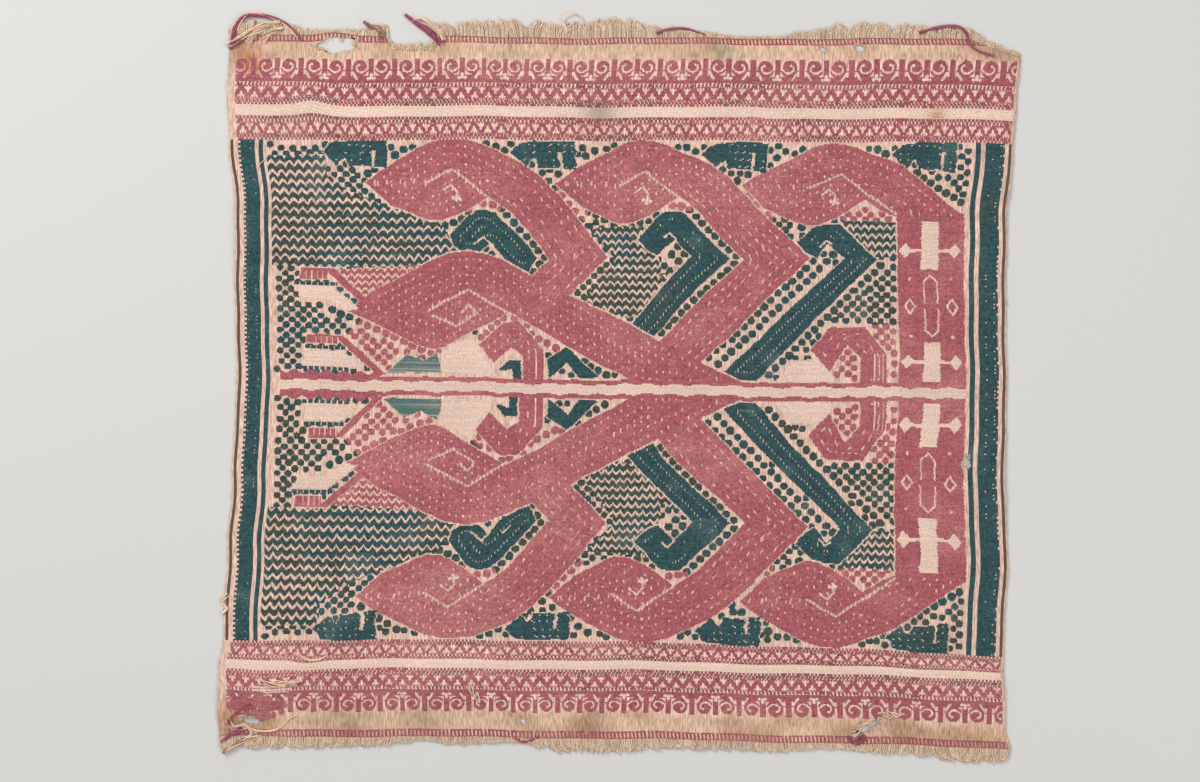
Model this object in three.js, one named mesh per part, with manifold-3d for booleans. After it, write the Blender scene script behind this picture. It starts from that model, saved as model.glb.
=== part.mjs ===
// A square ceremonial cloth, handwoven in cotton, lying flat with its patterned face up.
// One woven sheet with drawn-in selvedges, worn ends and a few torn holes, and a strip of looped
// warp fringe along each end. Millimetres, +Z up, +Y towards the end with the large tear, and the
// origin on the surface that the cloth lies on, under the middle of it.
import * as THREE from "three";
import { mergeVertices } from "three/addons/utils/BufferGeometryUtils.js";
import Module from "manifold-3d";

const wasm = await Module();
wasm.setup();

// Driving dimensions
const CLOTH_WIDTH = 700;
const WOVEN_LENGTH = 630;
const CLOTH_THICKNESS = 1.6;
const EDGE_STRIP = 5;
const PARTING_GAP = 0.3;
const STRAND_THICKNESS = 1.4;
const STRAND_PITCH = 5.5;
const STRAND_ROOT_WIDTH = 3.4;
const STRAND_TIP_WIDTH = 1.7;
const STRAND_LEAN = 3.2;

// Fineness of the solids
const SHEET_COLUMNS = 38;
const SHEET_ROWS = 36;
const STRIP_STEP = 11;
const YARN_STEP = 3;
const TALL = 40;

// How the woven rectangle lies: for a row of weft at each distance along the warp from the middle,
// the places of its two selvedges and how far it has sunk at its left end, middle and right end.
const WEFT_LINES = [
  { along: 315, left: -351, right: 355, sagLeft: 1, sagMiddle: -2, sagRight: -3 },
  { along: 296, left: -351, right: 361, sagLeft: 0, sagMiddle: -1, sagRight: -2 },
  { along: 254, left: -352, right: 358, sagLeft: 0, sagMiddle: -2, sagRight: -4 },
  { along: 225, left: -350, right: 356, sagLeft: -5, sagMiddle: -5, sagRight: -8 },
  { along: 160, left: -345, right: 349, sagLeft: -3, sagMiddle: -5, sagRight: -8 },
  { along: 0, left: -344, right: 349, sagLeft: 2, sagMiddle: -4, sagRight: -8 },
  { along: -85, left: -347, right: 348, sagLeft: -1, sagMiddle: -5, sagRight: -12 },
  { along: -140, left: -352, right: 350, sagLeft: -3, sagMiddle: -5, sagRight: -15 },
  { along: -225, left: -355, right: 347, sagLeft: -5, sagMiddle: -6, sagRight: -19 },
  { along: -254, left: -360, right: 347, sagLeft: -3, sagMiddle: -4, sagRight: -13 },
  { along: -296, left: -361, right: 348, sagLeft: 0, sagMiddle: -1, sagRight: -11 },
  { along: -315, left: -359, right: 353, sagLeft: -2, sagMiddle: -4, sagRight: -13 },
];

// Low cockles, where the cloth stands off the surface: the middle of each, its turn in degrees,
// half its length and width, and its height.
const COCKLES = [
  { x: -318, y: -272, turn: 24, halfLength: 62, halfWidth: 34, rise: 6.5 },
  { x: -300, y: 262, turn: -38, halfLength: 64, halfWidth: 36, rise: 4.5 },
  { x: -326, y: 140, turn: 84, halfLength: 74, halfWidth: 40, rise: 3 },
  { x: -168, y: -272, turn: 12, halfLength: 72, halfWidth: 34, rise: 4 },
  { x: -64, y: 262, turn: 8, halfLength: 80, halfWidth: 38, rise: 2.5 },
  { x: 124, y: 266, turn: -12, halfLength: 74, halfWidth: 36, rise: 3 },
  { x: 326, y: 196, turn: -80, halfLength: 76, halfWidth: 40, rise: 3.5 },
  { x: 292, y: -278, turn: -16, halfLength: 72, halfWidth: 36, rise: 3.5 },
  { x: -150, y: 6, turn: 3, halfLength: 84, halfWidth: 40, rise: 2 },
  { x: 196, y: -10, turn: -6, halfLength: 90, halfWidth: 42, rise: 2.5 },
  { x: 330, y: -92, turn: 86, halfLength: 70, halfWidth: 38, rise: 2.5 },
];

// Holes worn through the cloth: the middle, the turn in degrees, and half the length and width.
const HOLES = [
  { x: -253, y: 305, turn: 4, halfLength: 17, halfWidth: 6.2 },
  { x: 312.5, y: -70, turn: 82, halfLength: 6, halfWidth: 2.6 },
  { x: -329, y: -301.5, turn: -14, halfLength: 9.5, halfWidth: 2.8 },
  { x: 229, y: -301.5, turn: 10, halfLength: 8, halfWidth: 2.3 },
  { x: 184, y: 308, turn: -12, halfLength: 4.2, halfWidth: 2.3 },
];
const HOLE_POINTS = 14;
const HOLE_RAGGEDNESS = 0.16;

// Worn end of the cloth at +Y: the stretch that is torn away, and the corner that is worn off.
const TEAR = { from: -204, to: -163, depth: 12, slope: 5 };
const WORN_CORNER = { from: 312, depth: 17 };

// Length of the fringe along each end, by the distance across the cloth.
const TOP_FRINGE = [
  { across: -350, length: 7 },
  { across: -318, length: 10 },
  { across: -260, length: 4 },
  { across: -210, length: 9 },
  { across: -150, length: 10 },
  { across: -105, length: 14 },
  { across: -60, length: 12 },
  { across: 0, length: 15 },
  { across: 36, length: 9 },
  { across: 80, length: 4 },
  { across: 130, length: 2.5 },
  { across: 170, length: 7 },
  { across: 205, length: 12 },
  { across: 312, length: 9 },
];
const BOTTOM_FRINGE = [
  { across: -350, length: 10 },
  { across: -260, length: 8 },
  { across: -200, length: 6 },
  { across: -170, length: 2.5 },
  { across: -140, length: 6 },
  { across: -82, length: 3 },
  { across: -55, length: 10 },
  { across: 0, length: 10 },
  { across: 60, length: 7 },
  { across: 130, length: 6 },
  { across: 190, length: 3 },
  { across: 245, length: 5 },
  { across: 300, length: 8 },
  { across: 350, length: 7 },
];

// Loose yarns that stand out of the fringe: half their thickness, and the points they pass, by
// their places on the surface.
const CORNER_YARN = {
  radius: 1.5,
  route: [[-345, 311], [-343, 324], [-336, 332.5], [-321, 333], [-305, 328], [-294, 320], [-288, 311.5]],
};
const TORN_WEFT = { radius: 1.6, route: [[-151, 311], [-163, 316], [-179, 325.5], [-192, 333]] };
const FRINGE_LOOP = { radius: 0.7, route: [[-45, 311], [-50, 328], [-42, 334.5], [-34, 329], [-37, 311]] };
const CORNER_TUFT = { radius: 1.5, route: [[-338, -315], [-346, -325], [-357, -333.5]] };

const CLOTH_LOOK = new THREE.MeshStandardMaterial({ color: 0xb0646e, roughness: 0.92, metalness: 0 });
const FRINGE_LOOK = new THREE.MeshStandardMaterial({ color: 0xd8b491, roughness: 0.95, metalness: 0 });

const ease = (share) => share * share * (3 - 2 * share);

// The value of one column of a table at a place between two of its rows, eased from row to row.
function between(rows, key, place, column) {
  const rising = rows[0][key] < rows[rows.length - 1][key];
  const ordered = rising ? rows : [...rows].reverse();
  const held = THREE.MathUtils.clamp(place, ordered[0][key], ordered[ordered.length - 1][key]);
  const next = Math.max(1, ordered.findIndex((row) => row[key] >= held));
  const [low, high] = [ordered[next - 1], ordered[next]];
  const share = ease((held - low[key]) / (high[key] - low[key]));
  return THREE.MathUtils.lerp(low[column], high[column], share);
}

// The place on the surface of a point of the woven rectangle.
function lay(across, along) {
  const line = (column) => between(WEFT_LINES, "along", along, column);
  const share = across / CLOTH_WIDTH + 0.5;
  const sag =
    line("sagLeft") * (1 - share) * (1 - 2 * share) +
    line("sagMiddle") * 4 * share * (1 - share) +
    line("sagRight") * share * (2 * share - 1);
  return new THREE.Vector2(THREE.MathUtils.lerp(line("left"), line("right"), share), along + sag);
}

// Height of the cloth's underside above the surface: a rounded rise on each cockle, else none.
function lift(x, y) {
  return COCKLES.reduce((height, cockle) => {
    const turn = THREE.MathUtils.degToRad(cockle.turn);
    const place = new THREE.Vector2(x - cockle.x, y - cockle.y).rotateAround(new THREE.Vector2(), -turn);
    const lengthwise = Math.min(1, Math.abs(place.x) / cockle.halfLength);
    const widthwise = Math.min(1, Math.abs(place.y) / cockle.halfWidth);
    const rounded = (share) => Math.cos((share * Math.PI) / 2) ** 2;
    return height + cockle.rise * rounded(lengthwise) * rounded(widthwise);
  }, 0);
}

// How much of the worn end is gone, across the cloth.
function wornAway(across) {
  const rise = THREE.MathUtils.smoothstep(across, TEAR.from - TEAR.slope, TEAR.from);
  const fall = 1 - THREE.MathUtils.smoothstep(across, TEAR.to, TEAR.to + TEAR.slope);
  const corner = Math.max(0, across - WORN_CORNER.from) / (CLOTH_WIDTH / 2 - WORN_CORNER.from);
  return Math.max(TEAR.depth * rise * fall, WORN_CORNER.depth * corner);
}

const sheetEnd = WOVEN_LENGTH / 2 - EDGE_STRIP;
const topEdge = (across) => sheetEnd - wornAway(across);

// A closed geometry as a solid that can be cut and joined.
function solidOf(geometry) {
  const bare = new THREE.BufferGeometry().setAttribute("position", geometry.getAttribute("position"));
  if (geometry.index) bare.setIndex(geometry.index);
  const merged = mergeVertices(bare, 1e-4);
  return new wasm.Manifold(
    new wasm.Mesh({
      numProp: 3,
      vertProperties: new Float32Array(merged.attributes.position.array),
      triVerts: new Uint32Array(merged.index.array),
    }),
  );
}

function meshOf(solid, name, material) {
  const cut = solid.getMesh();
  const geometry = new THREE.BufferGeometry()
    .setAttribute("position", new THREE.BufferAttribute(cut.vertProperties, 3))
    .setIndex(new THREE.BufferAttribute(cut.triVerts, 1));
  geometry.computeVertexNormals();
  const mesh = new THREE.Mesh(geometry, material);
  mesh.name = name;
  return mesh;
}

// The woven sheet: a thin slab, laid point by point and lifted on its cockles.
function sheetSolid() {
  const slab = new THREE.BoxGeometry(CLOTH_WIDTH, 1, CLOTH_THICKNESS, SHEET_COLUMNS, SHEET_ROWS, 1);
  const points = slab.getAttribute("position");
  for (let i = 0; i < points.count; i++) {
    const across = points.getX(i);
    const along = THREE.MathUtils.lerp(-sheetEnd, topEdge(across), points.getY(i) + 0.5);
    const place = lay(across, along);
    const height = points.getZ(i) + CLOTH_THICKNESS / 2 + lift(place.x, place.y);
    points.setXYZ(i, place.x, place.y, height);
  }
  return solidOf(slab);
}

// A ragged oval through the cloth.
function holeSolid(hole) {
  const outline = Array.from({ length: HOLE_POINTS }, (_, i) => {
    const turn = (i / HOLE_POINTS) * 2 * Math.PI;
    const ragged = 1 + HOLE_RAGGEDNESS * Math.sin(5 * turn + hole.x);
    return new THREE.Vector2(
      hole.halfLength * ragged * Math.cos(turn),
      hole.halfWidth * ragged * Math.sin(turn),
    );
  });
  const cutter = new THREE.ExtrudeGeometry(new THREE.Shape(outline), { depth: TALL, bevelEnabled: false });
  cutter.rotateZ(THREE.MathUtils.degToRad(hole.turn)).translate(hole.x, hole.y, -TALL / 2);
  return solidOf(cutter);
}

// Outline of one fringe strand, from one side of its root round its tip to the other side.
function strandOutline(root, length, outward, number) {
  const sway = STRAND_LEAN * (Math.sin(number * 0.37) + 0.45 * Math.sin(number * 1.9 + root));
  const lean = (sway * length) / 15;
  const reach = length * (1 + 0.12 * Math.sin(number * 2.7));
  const edge = (side, share, width) => {
    const place = lay(root + side * width * 0.5, outward * (WOVEN_LENGTH / 2));
    return new THREE.Vector2(place.x + lean * share * share, place.y + outward * reach * share);
  };
  const middleWidth = (STRAND_ROOT_WIDTH + STRAND_TIP_WIDTH) / 2;
  return [
    edge(1, 0, STRAND_ROOT_WIDTH),
    edge(1, 0.6, middleWidth),
    edge(1, 1, STRAND_TIP_WIDTH),
    edge(-1, 1, STRAND_TIP_WIDTH),
    edge(-1, 0.6, middleWidth),
    edge(-1, 0, STRAND_ROOT_WIDTH),
  ];
}

// A strip of fringe along one end: the woven edge it hangs from, and its strands in a row.
function fringeSolid(from, to, lengths, outward) {
  const inner = [];
  const steps = Math.ceil((to - from) / STRIP_STEP);
  for (let i = 0; i <= steps; i++) {
    const across = THREE.MathUtils.lerp(from, to, i / steps);
    inner.push(lay(across, outward * (sheetEnd + PARTING_GAP)));
  }
  const outer = [];
  const count = Math.floor((to - from) / STRAND_PITCH);
  const first = (from + to - (count - 1) * STRAND_PITCH) / 2;
  for (let i = count - 1; i >= 0; i--) {
    const root = first + i * STRAND_PITCH;
    outer.push(...strandOutline(root, between(lengths, "across", root, "length"), outward, i));
  }
  const comb = new THREE.Shape([...inner, ...outer]);
  return solidOf(new THREE.ExtrudeGeometry(comb, { depth: STRAND_THICKNESS, bevelEnabled: false }));
}

// A loose yarn on the surface, with a square section standing on its corner.
function yarnSolid({ radius, route }) {
  const path = new THREE.CatmullRomCurve3(route.map(([x, y]) => new THREE.Vector3(x, y, radius)));
  const section = new THREE.Shape([
    new THREE.Vector2(radius, 0),
    new THREE.Vector2(0, radius),
    new THREE.Vector2(-radius, 0),
    new THREE.Vector2(0, -radius),
  ]);
  const steps = Math.ceil(path.getLength() / YARN_STEP);
  return solidOf(new THREE.ExtrudeGeometry(section, { steps, extrudePath: path, bevelEnabled: false }));
}

const half = CLOTH_WIDTH / 2;
const sheet = HOLES.reduce((left, hole) => left.subtract(holeSolid(hole)), sheetSolid());
const topLeft = fringeSolid(-half, TEAR.from - TEAR.slope, TOP_FRINGE, 1).add(yarnSolid(CORNER_YARN));
const topRight = fringeSolid(TEAR.to + TEAR.slope, WORN_CORNER.from, TOP_FRINGE, 1)
  .add(yarnSolid(TORN_WEFT))
  .add(yarnSolid(FRINGE_LOOP));
const bottom = fringeSolid(-half, half, BOTTOM_FRINGE, -1).add(yarnSolid(CORNER_TUFT));

const part = new THREE.Group();
part.add(
  meshOf(sheet, "cloth", CLOTH_LOOK),
  meshOf(topLeft, "top_fringe_left", FRINGE_LOOK),
  meshOf(topRight, "top_fringe_right", FRINGE_LOOK),
  meshOf(bottom, "bottom_fringe", FRINGE_LOOK),
);

export default part;
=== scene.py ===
"""A handwoven ceremonial cloth lying flat, seen from straight above.

The cream ground cloth is a thin closed sheet. The pattern is charted pick by pick from the outlines
and repeats below, and every run of one colour in a pick becomes one raised weft float lying on the
ground. The points of the outlines were read from the photograph. Warp loops make the fringe, and a
few loose yarns stand out of the worn ends.
Lengths are millimetres until a mesh is made, and metres in the stage at the end.
"""

import bpy
import numpy as np
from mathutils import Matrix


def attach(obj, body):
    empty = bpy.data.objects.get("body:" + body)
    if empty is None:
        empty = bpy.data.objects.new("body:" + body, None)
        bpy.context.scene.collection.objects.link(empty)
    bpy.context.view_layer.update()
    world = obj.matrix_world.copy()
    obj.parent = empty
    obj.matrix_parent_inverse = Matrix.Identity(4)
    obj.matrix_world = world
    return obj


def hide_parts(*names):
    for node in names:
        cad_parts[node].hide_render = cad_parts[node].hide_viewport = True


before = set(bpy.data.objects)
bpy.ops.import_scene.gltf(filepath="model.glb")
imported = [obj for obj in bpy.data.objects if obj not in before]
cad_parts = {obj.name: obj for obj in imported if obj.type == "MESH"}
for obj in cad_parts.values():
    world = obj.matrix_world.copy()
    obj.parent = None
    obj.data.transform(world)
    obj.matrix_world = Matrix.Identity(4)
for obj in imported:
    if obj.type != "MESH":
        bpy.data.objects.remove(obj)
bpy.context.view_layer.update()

MM = 0.001
CLOTH_WIDTH = 700.0
HALF_WIDTH = CLOTH_WIDTH / 2
WOVEN_LENGTH = 630.0
GROUND_THICKNESS = 0.9
FIELD_HALF = 225.0
FIELD_LEFT = -317.0
FIELD_RIGHT = 313.0

# How a row of weft lies: distance along the warp, its two selvedges, and its sag left, middle, right.
WEFT_LINES = np.array([
    (-315, -359, 353, -2, -4, -13),
    (-296, -361, 348, 0, -1, -11),
    (-254, -360, 347, -3, -4, -13),
    (-225, -355, 347, -5, -6, -19),
    (-140, -352, 350, -3, -5, -15),
    (-85, -347, 348, -1, -5, -12),
    (0, -344, 349, 2, -4, -8),
    (160, -345, 349, -3, -5, -8),
    (225, -350, 356, -5, -5, -8),
    (254, -352, 358, 0, -2, -4),
    (296, -351, 361, 0, -1, -2),
    (315, -351, 355, 1, -2, -3),
], float)

# Low cockles: middle x and y, turn in degrees, half length, half width, rise.
COCKLES = np.array([
    (-318, -272, 24, 62, 34, 6.5),
    (-300, 262, -38, 64, 36, 4.5),
    (-326, 140, 84, 74, 40, 3.0),
    (-168, -272, 12, 72, 34, 4.0),
    (-64, 262, 8, 80, 38, 2.5),
    (124, 266, -12, 74, 36, 3.0),
    (326, 196, -80, 76, 40, 3.5),
    (292, -278, -16, 72, 36, 3.5),
    (-150, 6, 3, 84, 40, 2.0),
    (196, -10, -6, 90, 42, 2.5),
    (330, -92, 86, 70, 38, 2.5),
], float)

# Worn holes: middle x and y, turn in degrees, half length, half width.
HOLES = np.array([
    (-253, 306, 4, 18.5, 7.0),
    (312.5, -70, 82, 7.5, 3.3),
    (-331, -301.5, -14, 9.5, 3.4),
    (224, -307, 24, 13, 4.2),
    (217, 303, -25, 5.6, 3.2),
    (183.5, 302, -20, 4.4, 3.0),
    (-85, -302, 20, 4.4, 3.0),
], float)

# Puckers, where the picks bow: place across and along, half widths, shift.
PUCKERS = [
    (-255, 312, 17, 7, 4.2),
    (-274, 251, 13, 11, 3.6),
    (-273, -244, 14, 10, -3.2),
    (-310, -262, 22, 14, -2.0),
    (118, 246, 9, 8, 1.6),
]

# The worn upper end: the torn stretch with its sloping sides, and the corner that is worn off.
TEAR_FROM, TEAR_TO = -204.0, -169.0
TEAR_DEPTH = 12.0
TEAR_SLOPE = 6.0
CORNER_FROM = 312.0
CORNER_DEPTH = 17.0


def linear(r, g, b):
    """The linear colour of an sRGB colour given from 0 to 255."""
    c = np.array([r, g, b], float) / 255
    return np.where(c <= 0.04045, c / 12.92, ((c + 0.055) / 1.055) ** 2.4)


def smooth(t):
    """Eased step: zero at 0, one at 1, level at both ends."""
    t = np.clip(t, 0, 1)
    return t * t * (3 - 2 * t)


def eased(table, place):
    """Every further column of a table at a place between its rows, eased from row to row."""
    key = table[:, 0]
    held = np.clip(place, key[0], key[-1])
    low = np.clip(np.searchsorted(key, held) - 1, 0, len(key) - 2)
    share = smooth((held - key[low]) / (key[low + 1] - key[low]))
    return [table[low, c] + share * (table[low + 1, c] - table[low, c]) for c in range(1, table.shape[1])]


def lay(u, v):
    """Place x, y on the table of a point u across and v along the woven rectangle.

    Selvedges and sags come from the table of weft lines; the sag is a parabola through its left,
    middle and right value, low sine waves give the hand's unevenness, and a pucker is a bell."""
    left, right, sag_left, sag_middle, sag_right = eased(WEFT_LINES, v)
    s = u / CLOTH_WIDTH + 0.5
    sag = sag_left * (1 - s) * (1 - 2 * s) + sag_middle * 4 * s * (1 - s) + sag_right * s * (2 * s - 1)
    x = left + s * (right - left) + 0.5 * np.sin(v / 23 + 1.3) + 0.35 * np.sin(v / 9.1 + u / 60)
    y = v + sag + 0.6 * np.sin(u / 31 + 0.7 * np.sin(v / 50)) + 0.35 * np.sin(u / 11.7 + v / 40)
    for pu, pv, wide, tall, shift in PUCKERS:
        y = y + shift * np.exp(-(((u - pu) / wide) ** 2) - ((v - pv) / tall) ** 2)
    return x, y


def turned(x, y, cx, cy, turn):
    """Places seen from a middle: how far along a direction turned by an angle, and how far across it."""
    a = np.radians(turn)
    along = (x - cx) * np.cos(a) + (y - cy) * np.sin(a)
    across = (y - cy) * np.cos(a) - (x - cx) * np.sin(a)
    return along, across


def lift(x, y):
    """Height of the underside: on each cockle a product of two squared cosines, else zero."""
    height = np.zeros(np.shape(x))
    for cx, cy, turn, half_length, half_width, rise in COCKLES:
        along, across = turned(x, y, cx, cy, turn)
        p = np.minimum(np.abs(along) / half_length, 1)
        q = np.minimum(np.abs(across) / half_width, 1)
        height += rise * np.cos(p * np.pi / 2) ** 2 * np.cos(q * np.pi / 2) ** 2
    return height


def ragged_rim(angle, phase):
    """Radius of a worn rim at an angle: one, raised and lowered by two sine waves round it."""
    return 1 + 0.14 * np.sin(5 * angle + phase) + 0.06 * np.sin(13 * angle)


def hole_level(x, y):
    """Below zero inside a worn hole: the scaled radius over a ragged one, less one; also which hole."""
    levels = []
    for cx, cy, turn, half_length, half_width in HOLES:
        along, across = turned(x, y, cx, cy, turn)
        p, q = along / half_length, across / half_width
        levels.append(np.hypot(p, q) / ragged_rim(np.arctan2(q, p), cx) - 1)
    levels = np.array(levels)
    return levels.min(axis=0), levels.argmin(axis=0)


def worn_away(u):
    """How much of the worn end is gone: the torn stretch, the worn corner and a ragged line."""
    torn = smooth((u - TEAR_FROM + TEAR_SLOPE) / TEAR_SLOPE) * (1 - smooth((u - TEAR_TO) / TEAR_SLOPE))
    corner = np.maximum(0, u - CORNER_FROM) / (HALF_WIDTH - CORNER_FROM)
    ragged = 0.5 * np.sin(u / 3.1) + 0.4 * np.sin(u / 1.3)
    return np.maximum((TEAR_DEPTH + ragged * 1.6) * torn, CORNER_DEPTH * corner)


def value_noise(u, v, size, seed):
    """Smooth noise from 0 to 1: random values on a square lattice, eased between its corners."""
    rng = np.random.default_rng(seed)
    lattice = rng.random((256, 256))
    p, q = u / size + 1000, v / size + 1000
    i, j = np.floor(p).astype(int), np.floor(q).astype(int)
    a, b = smooth(p - i), smooth(q - j)
    i, j = i % 255, j % 255
    low = lattice[j, i] * (1 - a) + lattice[j, i + 1] * a
    high = lattice[j + 1, i] * (1 - a) + lattice[j + 1, i + 1] * a
    return low * (1 - b) + high * b


# The chart: one row for each pick of the upper half, one column for each warp.
WARP = 0.675
PICK = 1.08
COLUMNS = 1037
HALF_PICKS = 292
GROUND, ROSE, TEAL, CREAM, PALE, OLIVE, DEEP = range(7)

chart_u = (np.arange(COLUMNS) + 0.5 - COLUMNS / 2) * WARP
chart_h = np.arange(HALF_PICKS) * PICK
U, H = np.meshgrid(chart_u, chart_h)
WARP_NUMBER, PICK_NUMBER = np.meshgrid(np.arange(COLUMNS), np.arange(HALF_PICKS))

# How a hand strays from the drawing: the size of the noise, and its reach across and along.
STRAYS = [(55, 4.5, 3.5), (8, 1.5, 1.2)]
PICK_STRAY = 0.3


def hand_drawn(seed):
    """Chart places as a hand strays from them: slow and quick noise, and a small step at each pick."""
    u, h = U, H
    for n, (size, across, along) in enumerate(STRAYS):
        u = u + across * (value_noise(U, H, size, seed + 2 * n) - 0.5)
        h = h + along * (value_noise(U, H, size, seed + 2 * n + 1) - 0.5)
    step = np.random.default_rng(seed).normal(0, PICK_STRAY, HALF_PICKS)[PICK_NUMBER]
    return u + step, h


def side_distance(at, start, end):
    """Distance of every place to a straight side: to the nearest point between its ends."""
    (u, h), (ax, ay), (bx, by) = at, start, end
    dx, dy = bx - ax, by - ay
    t = np.clip(((u - ax) * dx + (h - ay) * dy) / (dx * dx + dy * dy), 0, 1)
    return np.hypot(u - ax - t * dx, h - ay - t * dy)


def outline_depth(points, at):
    """Signed distance of every place to a closed outline, below zero inside it.

    The distance is the least one to its sides, and the sign comes from counting side crossings."""
    points = np.asarray(points, float)
    u, h = at
    inside = np.zeros(u.shape, bool)
    least = np.full(u.shape, 1e9)
    for (ax, ay), (bx, by) in zip(points, np.roll(points, -1, axis=0)):
        least = np.minimum(least, side_distance(at, (ax, ay), (bx, by)))
        crossing = (ay > h) != (by > h)
        inside ^= crossing & (u < ax + (h - ay) * (bx - ax) / ((by - ay) or 1e-9))
    return np.where(inside, -least, least)


def line_distance(points, at):
    """Distance of every place to an open broken line."""
    return np.min([side_distance(at, a, b) for a, b in zip(points[:-1], points[1:])], axis=0)


def placed(tip, points):
    """Points given from a tip, as places on the chart: the tip is added to each."""
    return np.asarray(tip, float) + np.asarray(points, float)


def union_depth(shapes, at):
    """Signed distance of every place to a group of outlines: the least of theirs."""
    return np.min([outline_depth(shape, at) for shape in shapes], axis=0)


# The large prows repeat along the field; each is a leaf-shaped head on a bent band.
PROW_PITCH = 170.5
PROW_TIP = (-231.0, 186.0)
HEAD_TOP = [(0, 0), (18, 13), (46, 27.5), (62, 36), (76, 39), (92, 38.5), (106, 34.5), (139, 20)]
HEAD_UNDER = [(131, -24), (113, -12), (95, -24), (84, -29.5), (70, -35), (58, -36), (40, -28.5), (21, -20)]
NECK = (158, 7)
# Outer and inner bends of the first two bands, and how far an arm leans for its fall.
BENDS = [(219, -67), (231, -66)]
INNER_BENDS = [(167, -68), (172, -68)]
ARM_LEAN = 1.03


def prow_tip(number):
    """Tip of a large prow: the first one's, moved along by whole pitches."""
    return (PROW_TIP[0] + number * PROW_PITCH, PROW_TIP[1])


def bent_prow(number, outer_arm, inner_arm):
    """Outline of a prow whose band bends back; its arm leans by a fixed share of its fall."""
    (bu, bh), (iu, ih) = BENDS[number], INNER_BENDS[number]
    outer = (bu - ARM_LEAN * outer_arm, bh - outer_arm)
    inner = (iu - ARM_LEAN * inner_arm, ih - inner_arm)
    arm = [NECK, (bu, bh), outer, inner, (iu, ih)]
    return placed(prow_tip(number), HEAD_TOP + arm + HEAD_UNDER)


LOW_HEAD_TOP = [(0, 0), (26, 19.5), (50, 31), (75, 44), (93, 51.5), (111, 54), (126, 52.5), (141, 47)]
LOW_HEAD_UNDER = [(147, 0), (129, -10), (105, -23.5), (87, -34), (75, -36), (62, -32.5), (44, -23.5)]
ROSE_SHAPES = [
    bent_prow(0, 50, 34),
    bent_prow(1, 116, 96),
    placed(prow_tip(2), HEAD_TOP + [(203, -24), (203, -184), (141, -184), (141, -27)] + HEAD_UNDER),
    placed((-248, 69), LOW_HEAD_TOP + [(365, -67), (262, -67)] + LOW_HEAD_UNDER),
    placed((-130, 38), [
        (0, 0), (24, 22), (38, 22), (59, -3), (61, -36), (39, -36), (39, -8), (29, -1), (12, -15),
    ]),
    placed((172, 39), [
        (0, 0), (17, 20), (48, 20), (68, -6), (69, -36), (45, -36), (45, -10), (32, 4), (17, -20),
    ]),
    [(-271, 108), (-262, 108), (-226, 76), (-235, 76)],
    [(-261, 47), (-253, 47), (-215, 9), (-223, 9)],
    [(-292, 98), (-268, 98), (-268, 108), (-292, 108)],
    [(-284, 38), (-257, 38), (-257, 47), (-284, 47)],
]
# Each teal hook: its rounded top from the tip on, then its arm, then the mouth back to the tip.
HOOK_TOP_1 = [(0, 0), (17, 20), (24, 24), (32, 25), (41, 22.5)]
HOOK_TOP_2 = [(0, 0), (11.5, 11), (23, 23), (33, 24.5), (43, 24), (48, 19.5)]
HOOK_TOP_3 = [(0, 0), (15, 13.5), (24, 16), (40, 16.5)]
HOOK_MOUTH_1 = [(48, -20), (36, -4.5), (26.5, -14), (11, -15), (3, -9)]
HOOK_MOUTH_2 = [(36, -1.5), (20.5, -15), (11.5, -12)]
HOOK_MOUTH_3 = [(28, -1.5), (18, -15), (6, -8)]
TEAL_SHAPES = [
    placed((-154, 137), HOOK_TOP_1 + [(61, 2.5), (79, -18), (70, -32.5), (58, -28)] + HOOK_MOUTH_1),
    placed((14, 136), HOOK_TOP_2 + [(84.5, -17.5), (11, -92.5), (-12, -83), (51.5, -17)] + HOOK_MOUTH_2),
    placed((159, 135), HOOK_TOP_3 + [(71.5, -15.5), (-38, -125), (-74, -125), (42, -15)] + HOOK_MOUTH_3),
    placed((-68, 26), [(0, 0), (19, 12), (46, -16), (29, -16), (19, -2), (2, -16)]),
    placed((-113, 17), [(0, 0), (9, 9), (20, 8), (20.5, -9), (13, -9), (12, 1), (5, -1)]),
]
BIRD = [
    [(0, -12), (7, -3), (24, 0), (24, -12), (12, -23)],
    [(22, 0), (43, 0), (43, -24), (24, -24), (20, -14)],
    [(45.5, 0), (57, 0), (57, -26), (46, -25)],
    [(38, 0), (48, 0), (48, -10), (38, -10)],
]
BIRD_SHAPES = [placed((-268 + n * PROW_PITCH, FIELD_HALF), p) for n in range(4) for p in BIRD]
CREAM_SHAPES = [
    [(-293, 92), (-264, 92), (-238, 71), (-249, 69), (-261, 78), (-270, 81), (-289, 80)],
    [(-287, 31), (-252, 31), (-237, 17), (-287, 17)],
    [(-164, 11), (-164, 30), (-147, 39.5), (-134, 45), (-128, 30), (-114, 11)],
    [(139, 10), (155, 28), (178, 30), (190, 17), (194, 10)],
    [(273, 111), (289, 111), (289, 156), (273, 156)],
    [(273, 9), (289, 9), (289, 46), (273, 46)],
]
PALE_SHAPES = [[(-216, 11), (-196, 28), (-182, 22), (-168, 29), (-164, 11)]]

# Cream lines inside the heads, and the small hooked eye in each.
ROOFS = [placed(prow_tip(n), [(57, -2), (81, 11), (112, -12)]) for n in range(2)]
ROOFS += [
    placed(prow_tip(2), [(59, -2), (89, 11), (141, -25)]),
    [(-175, 68), (-138, 88), (-101, 67)],
    [(-172, 64), (-150, 54), (-130, 67)],
    [(-144, 67), (-138, 74), (-130, 67)],
]
EYES = [placed(prow_tip(n), [(72, -8), (79, -3), (85, -9), (84, -14)]) for n in range(3)]
TEAL_ROOFS = [
    [(-133, 130), (-124, 137), (-116, 130)],
    [(40, 136.5), (45, 140.5), (51, 134.5)],
    [(180, 130), (186, 136), (190, 133)],
]

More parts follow.
